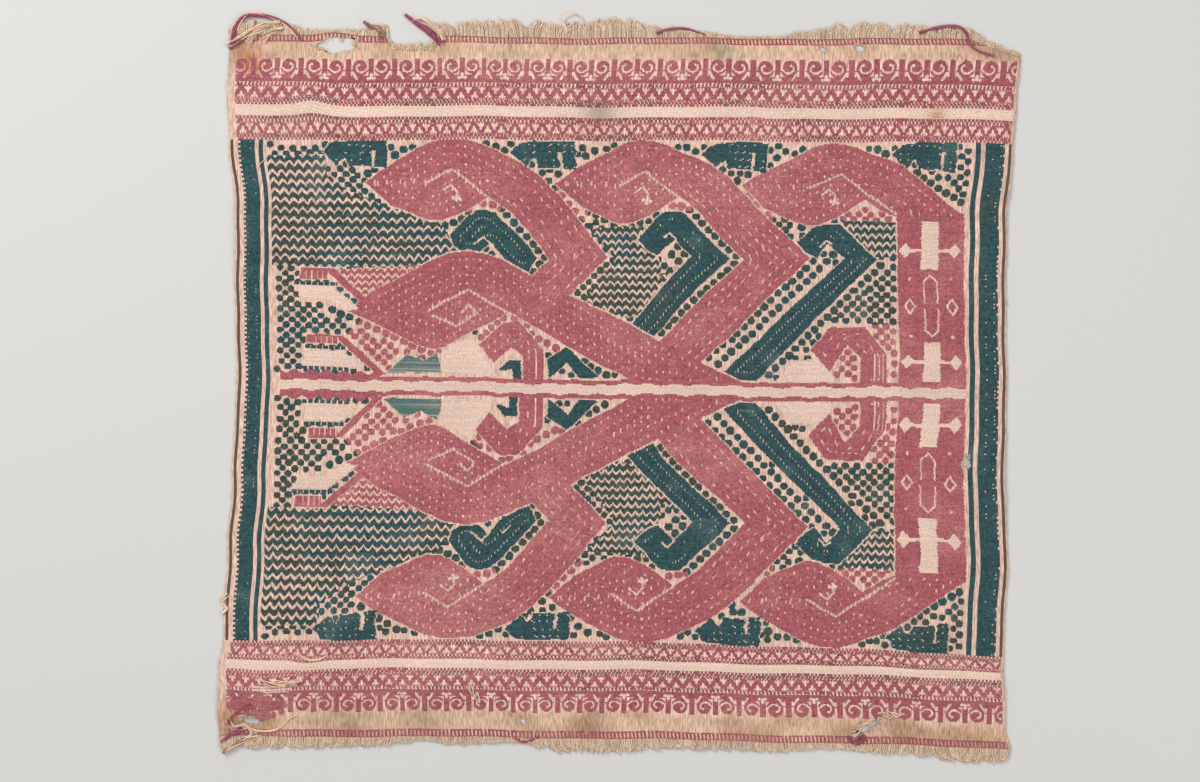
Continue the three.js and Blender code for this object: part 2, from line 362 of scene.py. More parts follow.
# Places where the ground is filled with rose, and where it is filled with zigzag in place of dots.
ROSE_FILL = [
    [(-260, 107), (-172, 110), (-236, 73)],
    [(-250, 47), (-236, 62), (-180, 36), (-160, 38), (-160, 28), (-176, 26), (-222, 10)],
    [(-140, 42), (-112, 62), (-98, 68), (-90, 62), (-122, 42)],
    [(-100, 64), (-84, 62), (-45, 42), (-50, 30), (-66, 34)],
    [(190, 18), (204, 44), (217, 28), (217, 8), (198, 8)],
    [(222, 60), (251, 62), (251, 8), (242, 8), (240, 34)],
    [(199, 156), (222, 180), (251, 160), (251, 154), (205, 154)],
    [(-140, 159), (-118, 178), (-105, 168), (-108, 160)],
    [(40, 162), (54, 179), (66, 168), (64, 161)],
]
ROSE_FILL += [placed(prow_tip(n), [(2, -1), (30, -20), (28, -36), (-2, -14)]) for n in (1, 2)]
# Ground that is left bare.
BARE_GROUND = [[(-126, 32), (-92, 36), (-92, 8), (-120, 8)]]
ZIGZAG_FILL = [
    [
        (-318, 211), (-264, 211), (-266, 195), (-247, 179), (-214, 165), (-166, 150), (-140, 118),
        (-175, 109), (-318, 109),
    ],
    [(-30, 145), (36, 150), (36, 100), (62, 116), (14, 66), (-20, 62), (-34, 80), (-5, 118)],
    [(200, 154), (252, 154), (252, 122), (230, 121)],
    ROSE_FILL[0],
]

# Single rows of dots in the channels beside the hooks, then the lattice for all other ground.
DOT_ROWS = [
    [
        (-160, 146), (-150, 150.5), (-143, 155), (-133, 164.5), (-122, 168), (-111, 164), (-68.5, 119),
        (-79, 106.5),
    ],
    [(10, 147), (20, 153), (33, 163.5), (46, 166), (60, 164.5), (104, 122), (105, 117), (31, 46)],
    [(51.7, 128.6), (45.6, 122)],
    [(57.8, 122), (51.7, 116)],
    [(168.5, 112), (61, 12)],
    [(193, 123), (76, 12)],
    [(236, 114), (128, 10)],
]
# Rows beside a prow, given from its tip: over both slopes of the head, then in the gap to the next.
PROW_DOT_ROWS = [
    [(4, 9), (45, 36)],
    [(112, 36.5), (157, 13)],
    [(165, 3), (213, -52)],
    [(177, -10), (224, -37)],
]
LAST_PROW_DOT_ROWS = [[(4, 9), (45, 36)], [(112, 36.5), (198, -14)]]
DOT_ROWS += [placed(prow_tip(n), row) for n in range(2) for row in PROW_DOT_ROWS]
DOT_ROWS += [placed(prow_tip(2), row) for row in LAST_PROW_DOT_ROWS]
DOT_ROWS += [[(-97, 57), (0, 5)], [(-262, 70), (-182, 33)]]
DOT_STEP = 8.2
LATTICE_FROM = (242.0, 117.0)
LATTICE_STEP = (5.2, 4.8)
LATTICE_COLUMNS = range(-108, 15)
LATTICE_ROWS = range(-23, 24)
GRID_STEP = 2.1
# How far a dot's middle stays from the solid shapes: in a row, on the lattice and on the fine grid.
ROW_CLEAR, LATTICE_CLEAR, GRID_CLEAR = 1.6, 1.8, 2.2
LOWEST_DOT = 12.5
DOT_MARGIN = 3.0
DOT_SPACING = 7.0
DOT_SIZE = (3.7, 3.45)
LATTICE_DOT = 0.87
DOT_ROUNDNESS = 2.5


def dot_middles(solid):
    """Middles of the dots, each with its share of the full size.

    Even steps along the single rows come first, then every place of a slanted lattice and of a fine
    grid that stands clear of the solid shapes and of the dots already set."""
    wanted = []
    for row in DOT_ROWS:
        row = np.array(row, float)
        run = np.concatenate([[0], np.cumsum(np.hypot(*np.diff(row, axis=0).T))])
        at = np.linspace(0, run[-1], int(run[-1] / DOT_STEP) + 1)
        along = zip(np.interp(at, run, row[:, 0]), np.interp(at, run, row[:, 1]))
        wanted += [(u, h, ROW_CLEAR, 1.0) for u, h in along]
    for j in LATTICE_ROWS:
        for i in LATTICE_COLUMNS:
            if (i + j) % 2 == 0:
                u = LATTICE_FROM[0] + LATTICE_STEP[0] * i
                h = LATTICE_FROM[1] + LATTICE_STEP[1] * j
                wanted.append((u, h, LATTICE_CLEAR, LATTICE_DOT))
    left, right, top = FIELD_LEFT + DOT_MARGIN, FIELD_RIGHT - DOT_MARGIN, FIELD_HALF - DOT_MARGIN
    for h in np.arange(LOWEST_DOT + 0.5, top, GRID_STEP):
        wanted += [(u, h, GRID_CLEAR, LATTICE_DOT) for u in np.arange(left + 1, right, GRID_STEP)]
    kept = np.zeros((0, 3))
    for u, h, clear, size in wanted:
        column = int(np.clip(round(u / WARP + COLUMNS / 2 - 0.5), 0, COLUMNS - 1))
        pick = int(np.clip(round(h / PICK), 0, HALF_PICKS - 1))
        inside = left < u < right and LOWEST_DOT < h < top
        if inside and solid[pick, column] > clear:
            if not len(kept) or np.hypot(kept[:, 0] - u, kept[:, 1] - h).min() > DOT_SPACING:
                kept = np.vstack([kept, (u, h, size)])
    return kept


def dotted(solid):
    """Chart cells covered by a dot: inside a rounded square about a dot's middle."""
    cover = np.zeros(U.shape, bool)
    rng = np.random.default_rng(1)
    for u, h, size in dot_middles(solid):
        u, h = u + rng.uniform(-0.6, 0.6), h + rng.uniform(-0.5, 0.5)
        wide, tall = np.array(DOT_SIZE) * size * rng.uniform(0.88, 1.1, 2)
        c = int(u / WARP + COLUMNS / 2)
        p = int(h / PICK)
        near = (slice(max(p - 5, 0), p + 6), slice(max(c - 8, 0), c + 9))
        across = np.abs((U[near] - u) / wide) ** DOT_ROUNDNESS
        along = np.abs((H[near] - h) / tall) ** DOT_ROUNDNESS
        cover[near] |= across + along < 1
    return cover


def zigzag(warps, picks, share):
    """Zigzag rows: dark where the pick number, raised by a wave over the warps, is early in its repeat.

    The dark share wanders a little, and is less towards the ends of the cloth."""
    wave = np.abs((WARP_NUMBER % warps) / (warps / 2) - 1) ** 1.3 + 0.3 * (value_noise(U, H, 3, 90) - 0.5)
    wander = 0.16 * (value_noise(U, H, 9, 91) - 0.5) - 0.1 * smooth((H - 150) / 40)
    return (PICK_NUMBER / picks + 0.5 * wave) % 1 < share + wander


# Lines left free round a solid shape: by dots, by zigzag, by rose zigzag, and round the hooks.
DOT_FREE, ZIGZAG_FREE, ROSE_ZIGZAG_FREE, HOOK_FREE = 0.8, 1.4, 0.6, 1.6
WIDE_ZIGZAG_END = -150.0


def fill_ground(chart, at, solid):
    """The ground between the shapes: whole dots, or zigzag rows, in rose where the ground is rose.

    A narrow line is kept free round every solid shape."""
    rows = np.where(U < WIDE_ZIGZAG_END, zigzag(12, 8, 0.7), zigzag(10, 7, 0.66))
    in_zigzag = union_depth(ZIGZAG_FILL, at) < 0
    in_rose = union_depth(ROSE_FILL, at) < 0
    rows = np.where(in_rose, zigzag(10, 6, 0.64), rows)
    free = np.where(in_rose, ROSE_ZIGZAG_FREE, ZIGZAG_FREE)
    dots = dotted(np.minimum(solid, union_depth(BARE_GROUND, at)))
    fill = np.where(in_zigzag, rows & (solid > free), dots & (solid > DOT_FREE))
    chart[fill] = DEEP
    chart[fill & in_rose] = ROSE


# Specks: the cells of chance along and across, how often one shows, and how deep the first row lies.
SPECK_CELL = (6.5, 6.1)
SPECKS_FROM = 360.0
SPECK_SHARE = 0.78
SPECK_DEPTH = 3.0
# Rows of specks: their step in depth, where in the step they start, and their length along the pick.
DASHES = (7.2, 6.1, 2.8)
TICKS = (7.4, 5.6, 1.36)
HEAD_LENGTH, HEAD_FOOT, ARM_TOP = 108.0, 146.0, 196.0
# The arms lie above a line through this place that falls by this share, and left of the band.
ARM_LINE, ARM_FALL = (-126.0, 124.0), 0.49
BAND_LEFT, BAND_HEAD = 251.0, 160.0
TIP_TICKS, TIP_TICK_HALF = (9, 20, 33, 46), (0.75, 2.3)


def weave_prows(chart, at, rose, chance):
    """Rose shapes with rows of cream specks that follow their depth, some missed by chance.

    The specks are dashes in the bent arms and ticks elsewhere. Four more ticks stand in each tip."""
    u, h = at
    chart[rose < 0] = ROSE
    in_head = (np.mod(u - PROW_TIP[0], PROW_PITCH) < HEAD_LENGTH) & (h > HEAD_FOOT)
    in_arm = ~in_head & (h > ARM_LINE[1] - ARM_FALL * (u - ARM_LINE[0])) & (h < ARM_TOP)
    along = np.mod(U + SPECKS_FROM, SPECK_CELL[1])
    dashes, ticks = (
        (np.mod(-rose, step) > start) & (along < length) for step, start, length in (DASHES, TICKS)
    )
    speck = np.where(in_arm, dashes, ticks) & (chance < SPECK_SHARE) & (rose < -SPECK_DEPTH)
    chart[speck & ((u < BAND_LEFT) | (h > BAND_HEAD))] = GROUND
    for n in range(3):
        tip_u, tip_h = prow_tip(n)
        for step in TIP_TICKS:
            wide, tall = np.abs(u - tip_u - step), np.abs(h - tip_h)
            chart[(wide < TIP_TICK_HALF[0]) & (tall < TIP_TICK_HALF[1])] = GROUND


# Fine rows in the hooks: step in depth and where in it they start, then step and length along the pick.
FINE_ROW, FINE_FROM, FINE_STEP, FINE_LENGTH = 7.8, 6.5, 2.71, 0.68
FINE_DEPTH = 2.5
ELBOW, LEFT_HOOK_END, BENT_SHARE = 122.0, -60.0, 0.3
BIRD_STEP, BIRD_SPECK, BIRD_SHARE = 6.7, 1.4, 0.45


def weave_teal(chart, at, rose, teal, birds, chance):
    """Teal hooks with fine specks in rows along their arms, and speckled birds at the field's end.

    Past the elbow of a hook only some specks show. The birds' specks are stepped from row to row."""
    u, h = at
    hooks = rose > HOOK_FREE
    chart[(teal < 0) & hooks] = TEAL
    fine = (np.mod(-teal, FINE_ROW) > FINE_FROM) & (np.mod(U, FINE_STEP) < FINE_LENGTH)
    shown = (h < ELBOW) | (u < LEFT_HOOK_END) | (chance < BENT_SHARE)
    chart[fine & shown & (teal < -FINE_DEPTH) & hooks] = GROUND
    chart[birds < 0] = TEAL
    slanted = np.mod(U + 5 * np.floor(H / SPECK_CELL[0]), BIRD_STEP) < BIRD_SPECK
    chart[slanted & (PICK_NUMBER % 6 < 2) & (birds < -1.2) & (chance < BIRD_SHARE)] = GROUND


# Half widths of the cream lines, and the spots of an eye about the end of its hook.
ROOF_HALF, EYE_HALF, TEAL_ROOF_HALF, BLOCK_FREE = 1.1, 0.95, 0.8, 1.2
EYE_SPOTS, SPOT_RADIUS = ((0, 0), (-3.4, -0.6), (2.8, -1.6), (-0.6, -3.0)), 1.7


def draw_lines(chart, at, rose, teal):
    """Cream blocks with a free line round them, then cream lines and spotted eyes on the heads."""
    u, h = at
    for shape in CREAM_SHAPES:
        depth = outline_depth(shape, at)
        chart[(depth < BLOCK_FREE) & (depth >= 0) & (chart != ROSE)] = GROUND
        chart[depth < 0] = CREAM
    for line in ROOFS:
        chart[(line_distance(line, at) < ROOF_HALF) & (rose < 0) & (WARP_NUMBER % 5 < 4)] = GROUND
    for line in EYES:
        chart[(line_distance(line, at) < EYE_HALF) & (rose < 0)] = GROUND
        for du, dh in EYE_SPOTS:
            chart[np.hypot(u - line[-1][0] - du, h - line[-1][1] - dh) < SPOT_RADIUS] = CREAM
    for line in TEAL_ROOFS:
        chart[(line_distance(line, at) < TEAL_ROOF_HALF) & (teal < 0)] = GROUND


# Combs of cream upright lines: first and last place across, foot and head, and step.
COMBS = [
    (-291, -268, 98, 106, 5.0),
    (-283, -257, 38, 45, 5.0),
    (-86, -70, 4, 34, 7.5),
    (222, 239, 4, 34, 7.5),
]
COMB_LINE = 0.9
# Short rows of teal squares over and under the cream blocks: first and last place across, and foot.
SQUARE_ROWS = [(-296, -257, 92.5), (-287, -251, 33), (-290, -248, 13.5)]
SQUARE_STEP, SQUARE_WIDTH, SQUARE_HEIGHT = 5.4, 4.4, 3.0


def draw_combs(chart, rose):
    """Upright cream lines in the small blocks and legs, then the rows of small squares."""
    for low_u, high_u, low_h, high_h, step in COMBS:
        upright = np.mod(U - low_u, step) < COMB_LINE
        chart[upright & (U > low_u + 2) & (U < high_u) & (H > low_h) & (H < high_h) & (rose < 0)] = GROUND
    for low_u, high_u, low_h in SQUARE_ROWS:
        row = (U > low_u) & (U < high_u) & (H > low_h) & (H < low_h + SQUARE_HEIGHT)
        chart[row] = np.where(np.mod(U[row] - low_u, SQUARE_STEP) < SQUARE_WIDTH, TEAL, GROUND)


# The upright band: its middle, the heights of its arms, and half the width of its long outline.
BAND_MIDDLE = 281.5
ARM_MIDDLE, ARM_HALF = 281.0, 18.0
ARM_HEIGHTS = (128.5, 28.0)
ARM_ENDS = (258.5, 303.5)
RING_SIDES, RING_HEIGHT = (262.0, 301.0), 78.5
RING_SPOTS = (52.0, 103.0)
LONG_HALF = 6.3
LONG_SIDES = ((57, 76), (81, 100))
LONG_POINTS = ((105.5, 100.0), (51.5, 57.0))


def draw_upright_band(chart, at):
    """The band at the right: arms that end in lozenges, ringed lozenges, spots and a long outline.

    A lozenge is where the scaled distances across and along add up to less than one."""
    u, h = at
    for arm in ARM_HEIGHTS:
        chart[(np.abs(h - arm) < 1.4) & (np.abs(u - ARM_MIDDLE) < ARM_HALF)] = CREAM
        for side in ARM_ENDS:
            chart[(np.abs(u - side) / 6.5 + np.abs(h - arm) / 7.0) < 1] = CREAM
    for side in RING_SIDES:
        ring = np.abs(u - side) / 6.0 + np.abs(h - RING_HEIGHT) / 8.0
        chart[(ring < 1) & (ring > 0.62)] = GROUND
        for spot in RING_SPOTS:
            chart[np.hypot(u - side, h - spot) < 1.5] = GROUND
    for low_h, high_h in LONG_SIDES:
        edge = (np.abs(np.abs(u - BAND_MIDDLE) - LONG_HALF) < 0.75) & (h > low_h) & (h < high_h)
        chart[edge] = GROUND
    for point, foot in LONG_POINTS:
        roof = [(BAND_MIDDLE - LONG_HALF, foot), (BAND_MIDDLE, point), (BAND_MIDDLE + LONG_HALF, foot)]
        chart[line_distance(roof, at) < 0.8] = GROUND


BAND_EDGE, FOOT_EDGE, MIDDLE_EDGE = 8.3, 12.0, 4.4
BAND_START, FOOT_END = -311.0, -222.0


def draw_middle(chart, seed):
    """The rose edge along the middle with a scalloped foot at the left, then the cream middle band.

    Each edge is a height with sine waves on it."""
    wave = np.sin(U / 4.0 + 1.5 * np.sin(U / 37) + seed) + 0.5 * np.sin(U / 9.1 + 1)
    chart[(H < BAND_EDGE + wave * 0.4) & (U > BAND_START)] = ROSE
    chart[(H < FOOT_EDGE + 1.6 * np.sin(U / 2.4)) & (U > BAND_START) & (U < FOOT_END)] = ROSE
    chart[(H < MIDDLE_EDGE + wave * 0.8) & (U > BAND_START - 1)] = CREAM


def field_chart(seed):
    """Colours of the patterned field: the filled ground, the solid shapes, then what lies on them."""
    chart = np.zeros(U.shape, np.uint8)
    at = u, h = hand_drawn(seed)
    every = (ROSE_SHAPES, TEAL_SHAPES, BIRD_SHAPES, CREAM_SHAPES, PALE_SHAPES)
    rose, teal, birds, cream, pale = (union_depth(shapes, at) for shapes in every)
    birds = birds + 2.2 * (value_noise(u, h, 4.5, seed + 9) - 0.5)
    cell = np.floor(H / SPECK_CELL[0]).astype(int), np.floor((U + SPECKS_FROM) / SPECK_CELL[1]).astype(int)
    chance = np.random.default_rng(seed).random((400, 400))[cell]
    fill_ground(chart, at, np.min([rose, teal, birds, cream, pale], axis=0))
    weave_prows(chart, at, rose, chance)
    weave_teal(chart, at, rose, teal, birds, chance)
    chart[pale < 0] = PALE
    draw_lines(chart, at, rose, teal)
    draw_combs(chart, rose)
    draw_upright_band(chart, at)
    draw_middle(chart, seed)
    chart[(U < FIELD_LEFT) | (U > FIELD_RIGHT)] = GROUND
    return chart


# Side stripes: distance from the edge, where the wide and the narrow teal stripe begin and end, and
# the share of the wide one's ticks that show.
STRIPES = [
    (HALF_WIDTH + U, 8.2, 23.2, 26.2, 30.6, 1.0),
    (HALF_WIDTH - U, 7.2, 25.0, 28.8, 33.8, 0.35),
]
SELVEDGE_LINE = (1.5, 4.2)
SPECK_LANE = 7.4
LANE_HALF = 0.55
LANE_SHARE = 0.25
TICK_LENGTH = 1.6


def stripe_chart(chart):
    """Side stripes of the field: a wide and a narrow teal stripe, and a thin brown line at the edge.

    The wide one has short ticks on its outer side and two lanes of cream specks, shown by chance."""
    for edge, wide_from, wide_to, narrow_from, narrow_to, ticks in STRIPES:
        chance = np.random.default_rng(int(wide_to)).random((HALF_PICKS, 5))
        tick = (PICK_NUMBER % 4 > 1) & (chance[PICK_NUMBER // 4, 4] < ticks)
        outer = wide_from + TICK_LENGTH * tick
        lane = np.clip((edge - wide_from) // SPECK_LANE, 0, 3).astype(int)
        in_lane = np.abs(np.mod(edge - wide_from, SPECK_LANE) - SPECK_LANE / 2) < LANE_HALF
        specks = in_lane & (PICK_NUMBER % 3 < 1) & (chance[PICK_NUMBER // 3, lane] < LANE_SHARE)
        chart[(edge > outer) & (edge < wide_to) & ~specks] = TEAL
        chart[(edge > narrow_from) & (edge < narrow_to)] = TEAL
        chart[(edge > SELVEDGE_LINE[0]) & (edge < SELVEDGE_LINE[1])] = OLIVE
    return chart


# Bands of each end, counted in picks from the field: first pick and the one after the last.
FIRST_BORDER_PICK = 209
TRIANGLE_ROWS = [(4, 13), (30, 41)]
SPECKLED_ROWS = [(0, 4), (13, 17), (25, 30), (41, 43)]
CREAM_BAND = (17, 25)
HOOK_ROW = (43, 64)
END_STRIPE = (77, 83)
TRIANGLE_WARPS = 18
TRIANGLE_HALVES = [4, 4, 2, 1, 1]

# Upright bars of the hook row: place across and number, as the spacing drifts from side to side.
TOP_BARS = np.array([
    (-349, -2), (-307, 0), (-203, 5), (-143, 8), (-29, 14), (92, 20), (179, 24), (358, 32),
], float)
BOTTOM_BARS = np.array([
    (-347, -4), (-265, 0), (-107, 8), (50, 16), (134, 20), (203, 23), (271, 26), (357, 30),
], float)
# Half a bar and a disc's radius as shares of the pitch, then the heights of disc and foot.
BAR_HALF, DISC_RADIUS, DISC_RISE, BODY_RISE = 0.115, 0.30, 15.0, 7.4
# The cream cuts: where a curl starts, how far it turns and half its width, then leaf and trefoil.
CURL_FROM, CURL_TURN, CURL_HALF = np.radians(196), np.radians(265), 0.85
LEAF_FOOT, LEAF_HEIGHT, LEAF_HALF = 4.2, 6.8, 1.2
TREFOIL_HEAD, TREFOIL_SIDE, TREFOIL_ARM = 7.4, 4.8, 2.7
BORDER_LEFT, BORDER_RIGHT = -343.5, 347.0


def hook_row(bars):
    """Rose cells of the hook row, counted from its foot.

    Bars stand at the given places. Between two of them a disc stands on a stem, and a cream curl is
    cut into it whose radius falls steadily with the angle. Every even bar has a trefoil cut from its
    foot, and every odd one a slanted leaf on each side; x points from an even bar to an odd one, and
    under each disc the rose reaches up in a cup."""
    low, top = HOOK_ROW
    rise = (PICK_NUMBER - FIRST_BORDER_PICK - low) * PICK
    number = np.interp(chart_u, bars[:, 0], bars[:, 1])
    pitch = WARP / np.maximum(np.gradient(number), 1e-3)
    within = number - np.floor(number)
    x = (within - 0.5) * np.where(np.floor(number) % 2 == 0, 1, -1) * pitch
    from_even, from_odd = x + pitch / 2, pitch / 2 - x
    size = DISC_RADIUS * pitch
    radius = np.hypot(x, rise - DISC_RISE)
    rose = (np.minimum(from_even, from_odd) < BAR_HALF * pitch) | (rise < BODY_RISE) | (radius < size)
    rose |= (radius < 1.32 * size) & (rise < DISC_RISE - 0.35 * size)
    rose |= (x > 0) & (x < size) & (rise < DISC_RISE)
    turn = np.mod(np.arctan2(rise - DISC_RISE, x) - CURL_FROM, 2 * np.pi) / CURL_TURN
    cream = (np.abs(radius - size * (1.0 - 0.8 * turn**0.85)) < CURL_HALF) & (turn < 1)
    climb = (rise - LEAF_FOOT) / LEAF_HEIGHT
    cream |= (np.abs(from_odd - pitch * (0.38 - 0.2 * climb)) < LEAF_HALF) & (climb > 0) & (climb < 1)
    cream |= np.hypot(from_even, rise - TREFOIL_HEAD) < 1.7
    cream |= np.hypot(from_even - TREFOIL_ARM, rise - TREFOIL_SIDE) < 1.6
    cream |= (from_even < TREFOIL_ARM) & (np.abs(rise - TREFOIL_SIDE) < 1.0)
    return rose & ~cream & (rise >= 0) & (rise < (top - low) * PICK)


def border_chart(bars, seed):
    """Colours of an end border.

    Triangles hang and stand in turn, speckled rows show single warps with some missed, and over them
    stands the row of bars and hooks."""
    chart = np.zeros(U.shape, np.uint8)
    b = PICK_NUMBER - FIRST_BORDER_PICK
    missed = np.random.default_rng(seed).random(U.shape)
    phase = np.mod(WARP_NUMBER, TRIANGLE_WARPS) - TRIANGLE_WARPS // 2
    opposite = np.mod(WARP_NUMBER + TRIANGLE_WARPS // 2, TRIANGLE_WARPS) - TRIANGLE_WARPS // 2
    for low, high in TRIANGLE_ROWS:
        chart[(b >= low) & (b < high)] = ROSE
        for middle, rise in ((opposite, b - low), (phase, high - 1 - b)):
            for step, half in enumerate(TRIANGLE_HALVES):
                chart[(rise == step + 1) & (np.abs(middle) <= half)] = GROUND
            chart[(rise == 1) & (np.abs(np.abs(middle) - 2) < 1)] = ROSE
            chart[(rise == 0) & (np.abs(middle) % 3 == 0) & (missed < 0.6)] = GROUND
    for low, high in SPECKLED_ROWS:
        inside = (b >= low) & (b < high)
        chart[inside] = ROSE
        step = (b - low) // 2
        tick = (WARP_NUMBER + 2 * step) % 5 < 2 - step % 2
        chart[inside & tick & (missed[step % 9, (WARP_NUMBER + 2 * step) // 5] < 0.85)] = GROUND
    chart[(b >= CREAM_BAND[0]) & (b < CREAM_BAND[1])] = CREAM
    chart[hook_row(bars)] = ROSE
    chart[(b == HOOK_ROW[0]) & (WARP_NUMBER % 5 < 3) & (missed < 0.8)] = GROUND

    stripe = (b >= END_STRIPE[0]) & (b < END_STRIPE[1])
    chart[stripe] = ROSE
    dash = missed[0, WARP_NUMBER // 5]
    chart[stripe & (np.abs(b - END_STRIPE[0] - 2.5) < 1.6 + 1.2 * dash) & (WARP_NUMBER % 5 < 2)] = GROUND
    chart[(U < BORDER_LEFT) | (U > BORDER_RIGHT)] = GROUND
    return chart


# Worn patches of the rumpled corner: place across and along, and half widths.
HEAP = (-314, -289, 25, 12)
BARE_PATCH = (-304, -270, 17, 5.5)
PATCH_RIM = 1.2


def patch_level(patch, across, along):
    """Scaled distance from the middle of a patch, one on its ellipse."""
    pu, pv, wide, tall = patch
    return np.hypot((across - pu) / wide, (along - pv) / tall)


def full_chart():
    """Two half charts set foot to foot about the middle pick, with the worn places left bare.

    In the rumpled corner the rose weft has slid together over the hooks: an ellipse with a noisy rim
    is rose, and in a smaller one two picks of three are bare."""
    halves = []
    for seed, bars in ((70, TOP_BARS), (80, BOTTOM_BARS)):
        field, border = stripe_chart(field_chart(seed)), border_chart(bars, seed)
        halves.append(np.where(PICK_NUMBER < FIRST_BORDER_PICK, field, border))
    chart = np.concatenate([halves[1][:0:-1], halves[0]])
    v = (np.arange(2 * HALF_PICKS - 1) - (HALF_PICKS - 1)) * PICK
    across, along = np.broadcast_arrays(chart_u[None, :], v[:, None])
    heap = patch_level(HEAP, across, along) + 0.5 * value_noise(across, along, 8, 12) < PATCH_RIM
    chart[heap] = np.where(value_noise(across, along, 3, 13)[heap] > 0.8, GROUND, ROSE)
    bare = patch_level(BARE_PATCH, across, along) + 0.6 * value_noise(across, along, 6, 14) < PATCH_RIM
    chart[bare & (np.arange(len(v))[:, None] % 3 > 0)] = GROUND
    chart[hole_level(*lay(across, along))[0] < 0.1] = GROUND
    chart[v[:, None] > WOVEN_LENGTH / 2 - worn_away(chart_u)[None, :] - 0.6] = GROUND
    return chart, v


# Dyes, as linear colours.
ROSE_DYE = linear(173, 92, 101)
ROSE_FADED = linear(191, 118, 120)
ROSE_GREYED = linear(124, 88, 86)
TEAL_DYE = linear(47, 82, 86)
TEAL_DARK = linear(68, 79, 70)
TEAL_GREY = linear(96, 122, 118)
CREAM_COTTON = linear(243, 211, 193)
FIELD_COTTON = linear(231, 194, 175)
GROUND_COTTON = linear(226, 189, 163)
PALE_TEAL = linear(88, 118, 116)
OLIVE_BROWN = linear(104, 88, 76)


def mix(a, b, t):
    """The colour that lies a share t of the way from one to another."""
    return a + (b - a) * np.asarray(t)[..., None]


# Warps between the ties of a long run, and how far the ties step from pick to pick.
TIE_WARPS, TIE_STEP = 15, 6


def float_runs(chart, colour):
    """Runs of one colour: the pick of each, and its first and last warp.

    A run ends where the colour does, and a long one is tied down in turn."""
    mask = np.pad(chart == colour, ((0, 0), (1, 1)))
    picks, columns = np.indices(mask.shape)
    tie = (columns - 1 + TIE_STEP * picks) % TIE_WARPS == 0
    start = mask[:, 1:-1] & (~mask[:, :-2] | tie[:, 1:-1])
    end = mask[:, 1:-1] & (~mask[:, 2:] | tie[:, 2:])
    rows, first = np.nonzero(start)
    return rows, first, np.nonzero(end)[1]


UV_HALF = np.array([370.0, 345.0])


def make_mesh(name, points, faces, material, colours, planar=True):
    """One smooth object at the origin from arrays: points in millimetres, faces of four corners.

    The dye is a colour at each point, and a planar map is the place seen from above."""
    mesh = bpy.data.meshes.new(name)
    faces = np.asarray(faces)
    mesh.vertices.add(len(points))
    mesh.vertices.foreach_set("co", (np.asarray(points) * MM).ravel().astype(np.float32))
    count, corners = faces.shape
    mesh.loops.add(count * corners)
    mesh.loops.foreach_set("vertex_index", faces.ravel().astype(np.int32))
    mesh.polygons.add(count)
    mesh.polygons.foreach_set("loop_start", (np.arange(count) * corners).astype(np.int32))
    mesh.polygons.foreach_set("use_smooth", np.ones(count, bool))
    mesh.update(calc_edges=True)
    mesh.validate()
    layer = mesh.color_attributes.new("dye", "FLOAT_COLOR", "POINT")
    rgba = np.ones((len(points), 4), np.float32)
    rgba[:, :3] = colours
    layer.data.foreach_set("color", rgba.ravel())
    if planar:
        uv = mesh.uv_layers.new(name="OFBake")
        index = np.zeros(len(mesh.loops), np.int32)
        mesh.loops.foreach_get("vertex_index", index)
        flat = (np.asarray(points)[index, :2] + UV_HALF) / (2 * UV_HALF)
        uv.data.foreach_set("uv", flat.ravel().astype(np.float32))
    mesh.materials.append(material)
    piece = bpy.data.objects.new(name, mesh)
    bpy.context.scene.collection.objects.link(piece)
    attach(piece, "root")
    return piece


FLOAT_HALF = 0.52
FLOAT_SIDE = 0.45
FLOAT_GAP = 0.02
FLOAT_CREST = 0.42
SHORT_FLOAT = 8


def float_strips(start, length, v, shares, rises):
    """Points and faces of floats with the same number of stations along them, three points across each.

    The middle line of a strip rises from the ground by its station's share of the crest, and its
    sides stay low."""
    count, stations = shares.shape
    across = np.array([-1.0, 0.0, 1.0])
    u = (start[:, None] + length[:, None] * shares)[:, :, None] + np.zeros(3)
    x, y = lay(u, v[:, None, None] + across * FLOAT_HALF + np.zeros((1, stations, 1)))
    high = np.array(rises)[:, None] * np.array([FLOAT_SIDE, 1.0, FLOAT_SIDE])
    z = lift(x, y) + GROUND_THICKNESS + FLOAT_GAP + FLOAT_CREST * high
    corner = np.array([3 * s + a for s in range(stations - 1) for a in range(2)])
    quads = np.stack([corner, corner + 3, corner + 4, corner + 1], axis=-1)
    faces = (np.arange(count) * 3 * stations)[:, None, None] + quads
    return np.stack([x, y, z], axis=-1).reshape(-1, 3), faces.reshape(-1, 4)


def weft_floats(name, runs, v, dye, material):
    """Raised floats of one colour: a short run is one arch, and a long one dips near each end."""
    rows, first, last = runs
    start = (first - COLUMNS / 2) * WARP
    length = (last + 1 - first) * WARP
    colour = dye(start + length / 2, v[rows], rows)
    short = last - first < SHORT_FLOAT
    points, faces, colours = np.zeros((0, 3)), np.zeros((0, 4), int), np.zeros((0, 3))
    for chosen, rises in ((short, (0, 1, 0)), (~short, (0, 1, 1, 0))):
        dip = np.minimum(0.3, 0.75 / length[chosen])
        inner = [0 * dip + 0.5] if len(rises) == 3 else [dip, 1 - dip]
        shares = np.stack([0 * dip, *inner, 0 * dip + 1], axis=1)
        strip, quads = float_strips(start[chosen], length[chosen], v[rows[chosen]], shares, rises)
        faces = np.concatenate([faces, quads + len(points)])
        points = np.concatenate([points, strip])
        colours = np.concatenate([colours, np.repeat(colour[chosen], 3 * len(rises), axis=0)])
    return make_mesh(name, points, faces, material, colours)


def pick_tone(rows, seed):
    """A tone for each pick, from 0 to 1, as yarns of one dyeing still differ."""
    return np.random.default_rng(seed).random(2 * HALF_PICKS)[rows]


